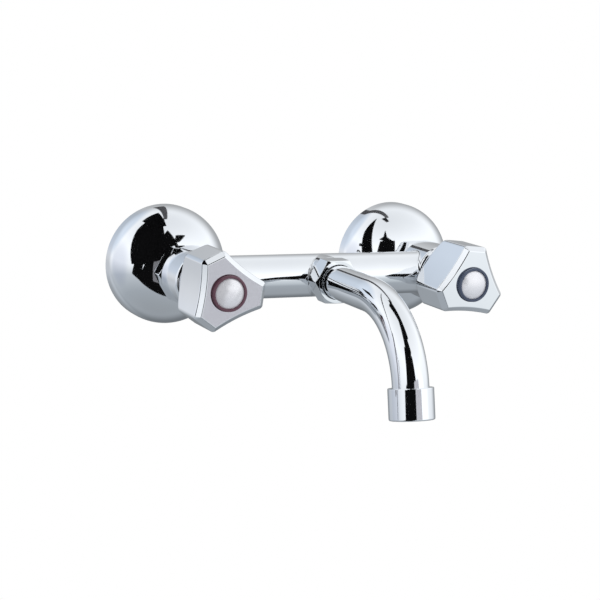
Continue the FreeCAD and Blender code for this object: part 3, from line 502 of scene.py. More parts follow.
def build_effects() -> None:
    """Builds the shared effects.

    The haze is cloudy patches that lead from a low to a high roughness. The waves are long and soft, as on a
    polished casting. The grain has a fine height and a coarser mask for colour. The scratches are sparse
    hairlines, the bands in which a stretched noise stays near its middle.
    """
    graph, given, out = Effect.HAZE.group(("Roughness",), Scale=60.0, Low=0.05, High=0.1)
    clouds = graph.noise(given["Vector"], given["Scale"], detail=4.0, roughness=0.6)
    graph.join(graph.spread(clouds, 0.3, 0.7, (given["Low"], given["High"])), out["Roughness"])

    graph, given, out = Effect.WAVES.group(("Height",), Scale=40.0)
    graph.join(graph.noise(given["Vector"], given["Scale"], detail=1.0, roughness=0.4), out["Height"])

    graph, given, out = Effect.GRAIN.group(("Height", "Mask"), Scale=900.0)
    graph.join(graph.noise(given["Vector"], given["Scale"], detail=3.0, roughness=0.7), out["Height"])
    graph.join(graph.noise(given["Vector"], scale=55.0, detail=2.0), out["Mask"])

    graph, given, out = Effect.SCRATCHES.group(("Mask",), Scale=30.0, Width=0.004)
    stretched = graph.add("ShaderNodeMapping", {"Vector": given["Vector"], "Rotation": (0.4, 0.9, 0.2),
                                                "Scale": (1.0, 9.0, 1.0)})
    off = graph.math("SUBTRACT", graph.noise(stretched.outputs["Vector"], given["Scale"], detail=2.0), 0.5)
    line = graph.spread(graph.math("ABSOLUTE", off), 0.0, given["Width"], (1.0, 0.0))
    graph.join(line, out["Mask"])


@dataclass(frozen=True)
class Finish:
    """A surface finish: two tones that vary softly, haze in its roughness and a fine relief."""

    name: str
    tone: Triple
    second_tone: Triple
    metallic: float = 0.0
    smooth: float = 0.05
    rough: float = 0.1
    haze_scale: float = 60.0
    relief: Effect = Effect.WAVES
    relief_scale: float = 45.0
    relief_depth: float = 0.02
    scratches: float = 0.0
    specular: float = 0.5

    def build(self) -> bpy.types.Material:
        """Builds the material.

        Returns:
            The material, whose patterns all read Object coordinates.
        """
        material = bpy.data.materials.new(self.name)
        material.use_nodes = True
        graph = Graph(material.node_tree)
        shader = material.node_tree.nodes["Principled BSDF"].inputs
        shader["Metallic"].default_value = self.metallic
        shader["Specular IOR Level"].default_value = self.specular
        place = graph.add("ShaderNodeTexCoord").outputs["Object"]
        mottle = Effect.GRAIN.place(graph, place, Scale=700.0)["Mask"]
        graph.join(graph.ramp(mottle, [(0.35, self.tone), (0.65, self.second_tone)]), shader["Base Color"])
        haze = Effect.HAZE.place(graph, place, Scale=self.haze_scale, Low=self.smooth, High=self.rough)
        roughness = haze["Roughness"]
        if self.scratches > 0:
            lines = Effect.SCRATCHES.place(graph, place, Scale=35.0, Width=0.003)
            roughness = graph.math("MULTIPLY_ADD", lines["Mask"], self.scratches, roughness)
        graph.join(roughness, shader["Roughness"])
        height = self.relief.place(graph, place, Scale=self.relief_scale)["Height"]
        bump = graph.add("ShaderNodeBump", {"Height": height, "Strength": 1.0,
                                            "Distance": self.relief_depth * MM})
        graph.join(bump.outputs["Normal"], shader["Normal"])
        return material


FINISHES = {
    "chrome": Finish("polished_chrome", (0.86, 0.875, 0.9), (0.88, 0.895, 0.915), 1.0, 0.04, 0.075,
                     relief_depth=0.012, scratches=0.02),
    "brass": Finish("machined_brass", (0.78, 0.56, 0.26), (0.86, 0.64, 0.33), 1.0, 0.22, 0.34,
                    haze_scale=90.0, relief=Effect.GRAIN, relief_scale=900.0, relief_depth=0.01,
                    scratches=0.1),
    "steel": Finish("bright_steel", (0.55, 0.56, 0.57), (0.64, 0.65, 0.66), 1.0, 0.2, 0.3,
                    relief=Effect.GRAIN, relief_scale=900.0, relief_depth=0.01),
    "rubber": Finish("black_rubber", (0.018, 0.018, 0.019), (0.03, 0.03, 0.031), 0.0, 0.5, 0.65,
                     relief=Effect.GRAIN, relief_scale=1200.0, relief_depth=0.02),
    "fibre": Finish("red_fibre", (0.34, 0.09, 0.06), (0.45, 0.14, 0.09), 0.0, 0.75, 0.9,
                    relief=Effect.GRAIN, relief_scale=1500.0, relief_depth=0.04),
    "nylon": Finish("white_nylon", (0.72, 0.73, 0.72), (0.8, 0.8, 0.79), 0.0, 0.35, 0.45,
                    relief=Effect.GRAIN, relief_scale=800.0, relief_depth=0.008),
    "hot_ring": Finish("dark_red_ring", (0.12, 0.055, 0.075), (0.15, 0.075, 0.1), 0.0, 0.2, 0.3,
                       relief_depth=0.004, specular=0.35),
    "cold_ring": Finish("dark_blue_ring", (0.06, 0.075, 0.12), (0.08, 0.1, 0.15), 0.0, 0.2, 0.3,
                        relief_depth=0.004, specular=0.35),
    "index_cap": Finish("pale_index_cap", (0.9, 0.89, 0.92), (0.94, 0.93, 0.95), 0.35, 0.22, 0.3,
                        relief_depth=0.004),
}


class Workshop:
    """Holds the built materials, makes the pieces and gives each its finish."""

    def __init__(self) -> None:
        """Builds the shared effects and every finish."""
        build_effects()
        self.materials = {slot: finish.build() for slot, finish in FINISHES.items()}

    def make(self, name: str, shells: list[Shell], body: str, slot: str, *replaces: str) -> None:
        """Makes one smooth-shaded piece from closed shells, hangs it on its CAD body and gives it its finish.

        Args:
            name: name of the piece.
            shells: the closed surfaces that make it up.
            body: the CAD body that it rides on.
            slot: material slot of the record that it takes its finish from.
            replaces: CAD nodes that it stands for.
        """
        points = np.concatenate([shell.points for shell in shells]) * MM
        faces, start = [], 0
        for shell in shells:
            faces += [[corner + start for corner in face] for face in shell.faces]
            start += len(shell.points)
        mesh = bpy.data.meshes.new(name)
        mesh.from_pydata(points.tolist(), [], faces)
        mesh.polygons.foreach_set("use_smooth", np.ones(len(faces), dtype=bool))
        mesh.update()
        made = add_object(name, mesh)
        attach(made, body)
        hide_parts(*replaces)
        if not made.material_slots:
            mesh.materials.append(self.materials[slot])
        for item in made.material_slots:
            item.material = self.materials[slot]
        LOG.info("%s: %d faces on %s", name, len(faces), body)

    def dress_frame(self, frame: dict) -> None:
        """Gives every carried-over CAD node the finish that its own material names, or else its record's.
        """
        slots = {part["node"]: part["material_slot"] for part in frame["record"].get("subparts", [])
                 if isinstance(part, dict) and "material_slot" in part}
        for node, made in frame["nodes"].items():
            for item in made.material_slots:
                name = item.material.name.split(".")[0] if item.material else ""
                found = [slot for slot in self.materials if slot in name]
                item.material = self.materials[found[0] if found else slots.get(node, "brass")]


# Wall side

@dataclass
class WallFitting:
    """The flange, the eccentric union and the union nut of one side."""

    side: Side
    workshop: Workshop
    offset: float = 75.0
    flange_radius: float = 34.5
    flange_rim: float = 5.8
    dome: float = 27.8
    sheet: float = 1.2
    lip: float = 14.5
    lip_wall: float = 0.4
    neck: float = 6.0
    union_radius: float = 13.2
    thread_gap: float = 0.06
    flange_front: float = 32.49
    nut_back: float = 32.9
    nut_front: float = 42.8
    nut_flats: float = 30.0
    nut_lip: float = 2.0
    tail_radius: float = 9.1
    union_end: float = 36.8
    drop: float = -7.5
    wall_radius: float = 10.48
    wall_length: float = 15.0
    wall_chamfer: float = 0.8
    mixer_chamfer: float = 0.5
    shoulder: float = 4.0
    neck_end: float = 18.0
    small_bore: float = 7.5
    large_bore: float = 9.6
    pitch: float = 1.814
    thread_depth: float = 1.1
    thread_end: float = 0.5
    thread_fade: float = 1.5
    support: float = 0.3
    flange_columns: int = 144
    dome_rows: int = 44
    inner_rows: int = 30
    union_columns: int = 72
    thread_rows: int = 96
    slant_rows: int = 14

    @property
    def axis(self) -> Axis:
        """Gives the axis that runs out of the wall through the mixer's inlet."""
        return Axis((self.side.sign * self.offset, 0.0, 0.0))

    def flange(self) -> None:
        """Builds the spun flange.

        Its profile is a straight rim, a dome that is an arc of one circle, a flat lip at the mouth and a
        threaded neck, then the same arc one sheet thickness further in, carried once round the axis.
        """
        centre = (self.flange_radius - self.dome, self.flange_rim)
        inner = self.dome - self.sheet
        neck_outer = self.lip + self.lip_wall
        mouth = np.degrees(np.arccos((self.lip - centre[0]) / self.dome))
        inner_mouth = np.degrees(np.arccos((neck_outer - centre[0]) / inner))
        hole = self.union_radius + self.thread_gap
        back = self.flange_front - self.neck
        corners = np.concatenate([
            [(self.flange_radius - self.sheet, 0.0, 0.45), (self.flange_radius, 0.0, 0.5)],
            arc_corners(centre, self.dome, 0.0, mouth, self.dome_rows, 0.5),
            [(hole, self.flange_front, 0.3), (hole, back, 0.0), (neck_outer, back, 0.0)],
            arc_corners(centre, inner, inner_mouth, 0.0, self.inner_rows),
        ])
        shell = turned(rounded(corners), self.axis, self.flange_columns)
        self.workshop.make(self.side.named("flange"), [shell], "mixer", "chrome",
                           self.side.named("wall_flange"))

    def union(self) -> None:
        """Builds the eccentric union with a helical thread on its wall end.

        The centre line runs straight into the wall, slants to the mixer's axis and runs straight out. The
        thread's radius is a triangle wave of (station / pitch + angle / whole turn), which fades out at its
        ends.
        """
        slant = [self.shoulder, self.neck_end]
        outer = np.concatenate([
            [-self.wall_length],
            np.linspace(-self.wall_length + self.wall_chamfer, self.thread_end, self.thread_rows),
            [self.shoulder],
            np.linspace(self.shoulder + self.support, self.neck_end, self.slant_rows),
            [self.union_end - 2 * self.support, self.union_end],
        ])
        smooth = np.interp(outer, slant, [self.wall_radius, self.union_radius])
        angle = full_turn(self.union_columns)
        wave = np.abs(((outer[:, None] / self.pitch + angle[None, :] / (2 * np.pi)) % 1.0) - 0.5) * 2
        fade = (np.clip((outer + self.wall_length - self.wall_chamfer) / self.thread_fade, 0, 1)
                * np.clip((self.thread_end - outer) / self.thread_fade, 0, 1))
        radius = smooth[:, None] - self.thread_depth * fade[:, None] * wave
        radius[0] -= self.wall_chamfer
        radius[-1] -= self.mixer_chamfer
        station = np.concatenate([outer, [self.union_end, self.neck_end, self.shoulder, -self.wall_length]])
        bore = np.array([self.large_bore, self.large_bore, self.small_bore, self.small_bore])
        radius = np.concatenate([radius, np.repeat(bore[:, None], len(angle), axis=1)])
        grid = self.axis.place(radius, station[:, None], angle[None, :])
        grid[..., 2] += np.interp(station, slant, [self.drop, 0.0])[:, None]
        self.workshop.make(self.side.named("eccentric_union"), [Shell.from_grid(grid)], "mixer", "brass",
                           self.side.named("s_union"))

    def nut(self) -> None:
        """Builds the union nut."""
        shell = hexagonal_nut(self.axis, self.nut_flats, self.nut_back, self.nut_front,
                              self.union_radius + self.thread_gap, self.tail_radius, self.nut_lip)
        self.workshop.make(self.side.named("nut"), [shell], "mixer", "chrome", self.side.named("union_nut"))

    def build(self) -> None:
        """Builds the flange, the union and the nut."""
        self.flange()
        self.union()
        self.nut()


def hexagonal_nut(axis: Axis, flats: float, back: float, front: float, bore: float, hole: float,
                  lip: float) -> Shell:
    """Works out a hexagonal nut with turned corners, a bore and an inner lip.

    In the direction of each angle the nut reaches to its flat, the half width divided by the cosine of the
    angle from the flat's middle, or to the small arc on its corner. Where that lies beyond the turned cone,
    the cone cuts it: the straight side then starts where the cone reaches the same radius.

    Args:
        axis: the nut's axis.
        flats: width across the flats.
        back: station of its back face.
        front: station of its front face.
        bore: radius of its thread.
        hole: radius of the hole in its lip.
        lip: thickness of its lip.

    Returns:
        The nut as a closed shell.
    """
    half, soft, cone_start = flats / 2, 0.7, 0.2
    sides, flat_columns, corner_columns = 6, 12, 8
    side_turn = 2 * np.pi / sides
    corner_centre = (half - soft) / np.cos(side_turn / 2)
    tangent = np.arctan2((half - soft) * np.tan(side_turn / 2), half)
    one_side = np.concatenate([np.linspace(-tangent, tangent, flat_columns, endpoint=False),
                               np.linspace(tangent, side_turn - tangent, corner_columns, endpoint=False)])
    angle = (side_turn / 2 + one_side[None, :] + full_turn(sides)[:, None]).ravel()
    from_flat = np.tile(one_side, sides)
    from_corner = from_flat - side_turn / 2
    arc = corner_centre * np.cos(from_corner) + np.sqrt(
        np.maximum(soft**2 - (corner_centre * np.sin(from_corner))**2, 0.0))
    reach = np.where(from_flat <= tangent, half / np.cos(np.minimum(from_flat, tangent)), arc)
    edge = half - cone_start
    rise = (reach - edge) / np.sqrt(3.0)
    corners = ((bore, back, 0.2), (edge, back, 0.4), (reach, back + rise, 0.5), (reach, front - rise, 0.5),
               (edge, front, 0.4), (hole, front, 0.3), (hole, front - lip, 0.2), (bore, front - lip, 0.2))
    places = np.stack([np.stack(np.broadcast_arrays(radius, station, reach)[:2], axis=-1)
                       for radius, station, _ in corners], axis=-2)
    outline = round_off(places, np.array([corner[2] for corner in corners]), steps=4, support=0.25)
    outline = np.swapaxes(outline, 0, 1)
    return Shell.from_grid(axis.place(outline[..., 0], outline[..., 1], angle[None, :]))


# Body casting

@dataclass
class MixerBody:
    """The casting: cross tube, two valve chambers and the spout boss, run together by rolled fillets."""

    workshop: Workshop
    spacing: float = 150.0
    tube_axis: float = 56.0
    tube_radius: float = 12.3
    chamber_radius: float = 17.0
    chamber_half: float = 12.8
    chamber_edge: float = 2.4
    tail_hole: float = 9.06
    tail_floor: float = 49.0
    seat_web: float = 2.0
    seat_hole: float = 5.5
    valve_bore: float = 9.6
    headwork_hole: float = 10.51
    headwork_floor: float = 59.1
    fillet: float = 2.6
    boss_radius: float = 12.2
    boss_front: float = 68.9
    boss_edge: float = 0.5
    boss_fillet: float = 1.6
    spigot_radius: float = 10.9
    spigot_end: float = 76.5
    spigot_chamfer: float = 0.8
    spout_hole: float = 9.65
    spout_floor: float = 8.0
    support: float = 0.3
    columns: int = 128

    def shell(self, rows: list[Array]) -> Shell:
        """Closes rows of points (x, depth from the tube's axis, height) that run from pole to pole."""
        x, rise, height = np.moveaxis(np.concatenate(rows), -1, 0)
        return Shell.from_grid(out_of_wall(x, self.tube_axis + rise, height), Ends.POLES)

    def tube(self) -> Shell:
        """Builds the cross tube with a fillet at each end.

        A ball rolls along the corner between tube and chamber: its centre keeps the tube's radius plus its
        own from the tube's axis, and halving finds the place along the tube where it just touches the
        chamber. The fillet is the arc on the ball between its two touching points. The rows run from inside
        one chamber, over its fillet, along the tube and over the other fillet.

        Returns:
            The tube as a closed shell.
        """
        angle = full_turn(self.columns)
        chamber = RoundedCylinder(self.chamber_radius, self.chamber_half, self.chamber_edge)
        depth, height = (self.tube_radius + self.fillet) * polar(angle).T
        low = halve(lambda place: chamber.gap(np.hypot(place, height), depth)[0] < self.fillet,
                    np.zeros_like(angle), np.full_like(angle, 2 * self.chamber_radius + 1))
        radial = np.hypot(low, height)
        away = chamber.gap(radial, depth)[1]
        centre = joined(low, depth, height)
        to_tube = -joined(0.0, np.cos(angle), np.sin(angle))
        to_chamber = -joined(away[:, 0] * low / radial, away[:, 1], away[:, 0] * height / radial)
        fillet = rolled_arc(centre, to_chamber, to_tube, self.fillet, steps=10)
        half_way = self.spacing / 2
        shares = np.array([0.02, 0.06, 0.15, 0.35, 0.6, 1.0])[:, None]
        along = fillet[-1, :, 0] + (half_way - fillet[-1, :, 0]) * shares
        straight = joined(along, *self.tube_radius * polar(angle).T)
        left = np.concatenate([np.zeros((1, len(angle), 3)), fillet, straight])
        right = left[::-1][1:] * (-1, 1, 1) + (self.spacing, 0, 0)
        return self.shell([left - (half_way, 0, 0), right - (half_way, 0, 0)])

    def boss(self) -> Shell:
        """Builds the spout boss with its fillet, threaded spigot and bore.

        The ball's centre keeps its distance from the tube's axis, and halving finds the radius about the boss
        at which it just touches the boss. Beyond the fillet the rows follow the boss's side and its rounded
        edge.

        Returns:
            The boss as a closed shell.
        """
        angle = full_turn(self.columns)
        front, end = self.boss_front - self.tube_axis, self.spigot_end - self.tube_axis
        form = RoundedCylinder(self.boss_radius, front, self.boss_edge)
        reach = self.tube_radius + self.boss_fillet
        sine = np.abs(np.sin(angle))

        def ball_depth(radial: Array) -> Array:
            """Gives the depth at which the ball lies on the tube, from its distance to the boss's axis."""
            return np.sqrt(np.maximum(reach**2 - (radial * sine)**2, 0.0))

        widest = np.minimum(self.boss_radius + 2 * self.boss_fillet,
                            (reach - SMALL) / np.maximum(sine, SMALL))
        low = halve(lambda radial: form.gap(radial, ball_depth(radial))[0] < self.boss_fillet,
                    np.full_like(angle, self.boss_radius / 2), widest)
        depth = ball_depth(low)
        away = form.gap(low, depth)[1]
        cosine, height = np.cos(angle), low * np.sin(angle)
        centre = joined(low * cosine, depth, height)
        to_tube = -joined(0.0, depth, height) / reach
        to_boss = -joined(away[:, 0] * cosine, away[:, 1], away[:, 0] * np.sin(angle))
        fillet = rolled_arc(centre, to_tube, to_boss, self.boss_fillet, steps=8)
        touch, start = np.linalg.norm(fillet[-1][:, [0, 2]], axis=-1), fillet[-1][:, 1]
        shares = np.array([0.3, 0.6, 0.85, 0.97])[:, None]
        side_rise = start + (front - self.boss_edge - start) * shares
        turn = np.radians(np.array([20.0, 45.0, 70.0, 90.0]))[:, None]
        edge_radius = (touch - self.boss_edge) + self.boss_edge * np.cos(turn)
        edge_rise = front - self.boss_edge + self.boss_edge * np.sin(turn)
        spigot, chamfer = self.spigot_radius, self.spigot_chamfer
        tail = np.array([(spigot + self.support, front), (spigot, front), (spigot, front + 0.4),
                         (spigot, end - chamfer), (spigot - 0.5, end - 0.15), (spigot - chamfer, end),
                         (self.spout_hole, end), (self.spout_hole, end - self.support),
                         (self.spout_hole, self.spout_floor), (0.0, self.spout_floor)])
        outlines = ((touch, side_rise), (edge_radius, edge_rise), (tail[:, :1], tail[:, 1:]))
        rows = [joined(radius * cosine, rise, radius * np.sin(angle)) for radius, rise in outlines]
        return self.shell([np.zeros((1, len(angle), 3)), fillet, *rows])

    def chamber(self, side: Side) -> Shell:
        """Builds a valve chamber with rounded edges and the stepped way through it.

        Args:
            side: which of the two it is.

        Returns:
            The chamber as a closed shell.
        """
        back, front = self.tube_axis - self.chamber_half, self.tube_axis + self.chamber_half
        seat = self.tail_floor + self.seat_web
        profile = rounded([
            (self.tail_hole, back, 0.3), (self.chamber_radius, back, self.chamber_edge),
            (self.chamber_radius, front, self.chamber_edge), (self.headwork_hole, front, 0.3),
            (self.headwork_hole, self.headwork_floor, 0.1), (self.valve_bore, self.headwork_floor, 0.1),
            (self.valve_bore, seat, 0.1), (self.seat_hole, seat, 0.2),
            (self.seat_hole, self.tail_floor, 0.2), (self.tail_hole, self.tail_floor, 0.1),
        ], steps=10)
        return turned(profile, Axis((side.sign * self.spacing / 2, 0.0, 0.0)), self.columns)

    def build(self) -> None:
        """Builds the whole casting as one piece."""
        shells = [self.tube(), self.boss(), self.chamber(Side.LEFT), self.chamber(Side.RIGHT)]
        self.workshop.make("body_casting", shells, "mixer", "chrome", "mixer_body")


# Handles

@dataclass
class Handle:
    """A lobed handle with its index ring and cap."""

    side: Side
    workshop: Workshop
    turned_by: float
    offset: float = 75.0
    back: float = 70.2
    front: float = 101.2
    reach: float = 21.6
    width: float = 13.9
    waist: float = 15.7
    rounding: float = 2.6
    bevel: float = 2.6
    bevel_run: float = 3.0
    bevel_support: float = 1.2
    base: float = 14.6
    flare_radius: float = 14.0
    flare_centre: tuple[float, float] = (11.25, 83.79)
    flare_blend: float = 0.7
    hollow: float = 12.8
    hollow_end: float = 92.2
    boss: float = 6.6
    boss_back: float = 84.3
    socket: float = 4.05
    socket_end: float = 92.4
    screw_hole: float = 2.05
    screw_seat: float = 94.8
    screw_recess: float = 3.6
    ring_seat: float = 97.2
    seat_radius: float = 9.75
    ring_radius: float = 9.7
    ring_wall: float = 1.4
    ring_front: float = 103.4
    cap_gap: float = 0.05
    cap_dome: float = 1.0
    corner_columns: int = 10
    dome_rows: int = 14

    @property
    def axis(self) -> Axis:
        """Gives the valve's axis, which runs straight out of the wall."""
        return Axis((self.side.sign * self.offset, 0.0, 0.0))

    def make(self, piece: str, shell: Shell, slot: str, node: str) -> None:
        """Makes a piece of this side that turns with the handle, in place of a node of this side."""
        name, body, replaced = (self.side.named(part) for part in (piece, "valve_handle", node))
        self.workshop.make(name, [shell], body, slot, replaced)

    def outline(self) -> tuple[Array, Array]:
        """Works out the lobed outline.

        One third runs along a lobe's flat end, round its corner arc, along the hollowed side, which is an
        arc about a centre far outside, and round the next lobe's corner. The corner's centre lies one
        rounding inside the flat, and the hollow's radius plus the rounding away from the hollow's centre, so
        that all arcs touch.

        Returns:
            The points of the outline and their outward unit normals, both shaped (points, 2).
        """
        root = np.sqrt(3.0)
        half_chord = self.reach * root / 2 - self.width / 4
        sag = self.reach / 2 + self.width * root / 4 - self.waist
        hollow = (half_chord**2 + sag**2) / (2 * sag)
        far = (self.waist + hollow) * np.array([0.5, root / 2])
        across = self.reach - self.rounding
        height = far[1] - np.sqrt((hollow + self.rounding)**2 - (across - far[0])**2)
        last = np.arctan2(far[1] - height, far[0] - across)
        third = 2 * np.pi / 3
        flat_shares = np.concatenate([[-1.0, -0.94], np.linspace(-0.8, 0.8, 5), [0.94]])
        side_shares = np.concatenate([[0.02], np.linspace(0.06, 0.94, 15), [0.98]])
        flat = flat_shares * height
        turn = np.linspace(0.0, last, self.corner_columns + 1)
        side = last + (third - 2 * last) * side_shares
        back_turn = np.linspace(third - last, third, self.corner_columns, endpoint=False)
        next_corner = np.array([across * np.cos(third) + height * np.sin(third),
                                across * np.sin(third) - height * np.cos(third)])
        points = np.concatenate([
            joined(self.reach, flat),
            np.array([across, height]) + self.rounding * polar(turn),
            far - hollow * polar(side),
            next_corner + self.rounding * polar(back_turn),
        ])
        normal = np.concatenate([np.zeros(len(flat)), turn, side, back_turn])
        start = np.radians(self.turned_by) + third * np.arange(3)[:, None]
        x = np.cos(start) * points[:, 0] - np.sin(start) * points[:, 1]
        y = np.sin(start) * points[:, 0] + np.cos(start) * points[:, 1]
        return joined(x.ravel(), y.ravel()), polar((start + normal).ravel())

    def shell(self) -> Shell:
        """Builds the handle as one closed surface.

        Near the back each row's radius is the smaller of the outline and the turned flare, blended softly
        where they meet. The rows of the front bevel are the outline moved inwards along its normals. The
        front face, the seat, the screw's recess, the splined boss and the hollow are circles, which close
        the loop.

        Returns:
            The closed handle.
        """
        outline, normal = self.outline()
        reach = np.linalg.norm(outline, axis=-1)
        unit = outline / reach[:, None]
        flare_in, flare_depth = self.flare_centre
        deep = flare_depth - np.sqrt(self.flare_radius**2 - (reach - flare_in)**2)
        bevel_start = self.front - self.bevel
        flare_shares = np.array([0.0, 0.15, 0.35, 0.55, 0.75, 0.88])[:, None]
        near = np.array([0.0, 0.3, 0.6, 1.0, 1.5, 2.2])[:, None] + deep
        side_shares = np.array([0.25, 0.5, 0.75, 1.0])[:, None]
        depth = np.concatenate([
            self.back + (deep - self.back) * flare_shares,
            near,
            near[-1] + (bevel_start - self.bevel_support - near[-1]) * side_shares,
        ])
        flare = flare_in + np.sqrt(np.maximum(
            self.flare_radius**2 - np.minimum(depth - flare_depth, 0.0)**2, 0.0))
        mixed = np.maximum(self.flare_blend - np.abs(flare - reach), 0.0)
        radius = np.minimum(flare, reach) - mixed**2 / (4 * self.flare_blend)
        side = np.concatenate([radius[..., None] * unit, depth[..., None]], axis=-1)
        corner = rounded([(0.0, bevel_start - self.bevel_run, 0.0), (0.0, bevel_start, 0.9),
                          (self.bevel, self.front, 0.7), (self.bevel + self.bevel_run, self.front, 0.0)],
                         closed=False)[1:-1]
        full = self.bevel - 0.05
        bevel = outline - np.minimum(corner[:, 0], full)[:, None, None] * normal
        further = np.maximum(corner[:, 0] - full, 0.0)[:, None, None]
        bevel = bevel * (1 - further / np.linalg.norm(bevel, axis=-1, keepdims=True))
        inner = rounded([
            (self.seat_radius + 2.0, self.front, 0.0), (self.seat_radius, self.front, 0.35),
            (self.seat_radius, self.ring_seat, 0.2), (self.screw_recess, self.ring_seat, 0.2),
            (self.screw_recess, self.screw_seat, 0.1), (self.screw_hole, self.screw_seat, 0.1),
            (self.screw_hole, self.socket_end, 0.1), (self.socket, self.socket_end, 0.1),
            (self.socket, self.boss_back, 0.2), (self.boss, self.boss_back, 0.3),
            (self.boss, self.hollow_end, 0.8), (self.hollow, self.hollow_end, 0.8),
            (self.hollow, self.back, 0.3), (self.base, self.back, 0.0),
        ], steps=4, closed=False)[1:-1]
        rows = [side]
        for flat, level in ((bevel, corner[:, 1]), (inner[:, None, :1] * unit, inner[:, 1])):
            level = np.broadcast_to(level[:, None, None], (*flat.shape[:2], 1))
            rows.append(np.concatenate([flat, level], axis=-1))
        x, height, depth = np.moveaxis(np.concatenate(rows), -1, 0)
        return Shell.from_grid(out_of_wall(x + self.side.sign * self.offset, depth, height))

    def cap(self, radius: float) -> Shell:
        """Works out the index cap: a thin skirt under a dome, which is an arc of one circle.

        Args:
            radius: radius of the cap.

        Returns:
            The cap as a closed shell.
        """
        under = self.ring_front - 2 * self.cap_dome
        rise = 2 * self.cap_dome
        ball = (radius**2 + rise**2) / (2 * rise)
        last = np.degrees(np.arcsin(radius / ball))
        centre = (0.0, self.ring_front + self.cap_dome - ball)
        skirt = radius - self.ring_wall
        profile = rounded(np.concatenate([
            arc_corners(centre, ball, 90.0, 90.0 - last, self.dome_rows, 0.4),
            [(radius, self.ring_seat, 0.1), (skirt, self.ring_seat, 0.1), (skirt, under, 0.2),
             (0.0, under, 0.0)],
        ]), closed=False)
        profile[0, 0] = profile[-1, 0] = 0.0
        return turned(profile, self.axis, ends=Ends.POLES)

    def build(self) -> None:
        """Builds the handle, its index ring and its cap."""
        self.make("lobed_handle", self.shell(), "chrome", "handle")
        inside = self.ring_radius - self.ring_wall
        ring = rounded([(inside, self.ring_seat, 0.1), (self.ring_radius, self.ring_seat, 0.1),
                        (self.ring_radius, self.ring_front, 0.5), (inside, self.ring_front, 0.35)], steps=6)
        slot = "hot_ring" if self.side is Side.LEFT else "cold_ring"
        self.make("ring", turned(ring, self.axis), slot, "index_ring")
        self.make("cap", self.cap(inside - self.cap_gap), "index_cap", "index_cap")


# Spout

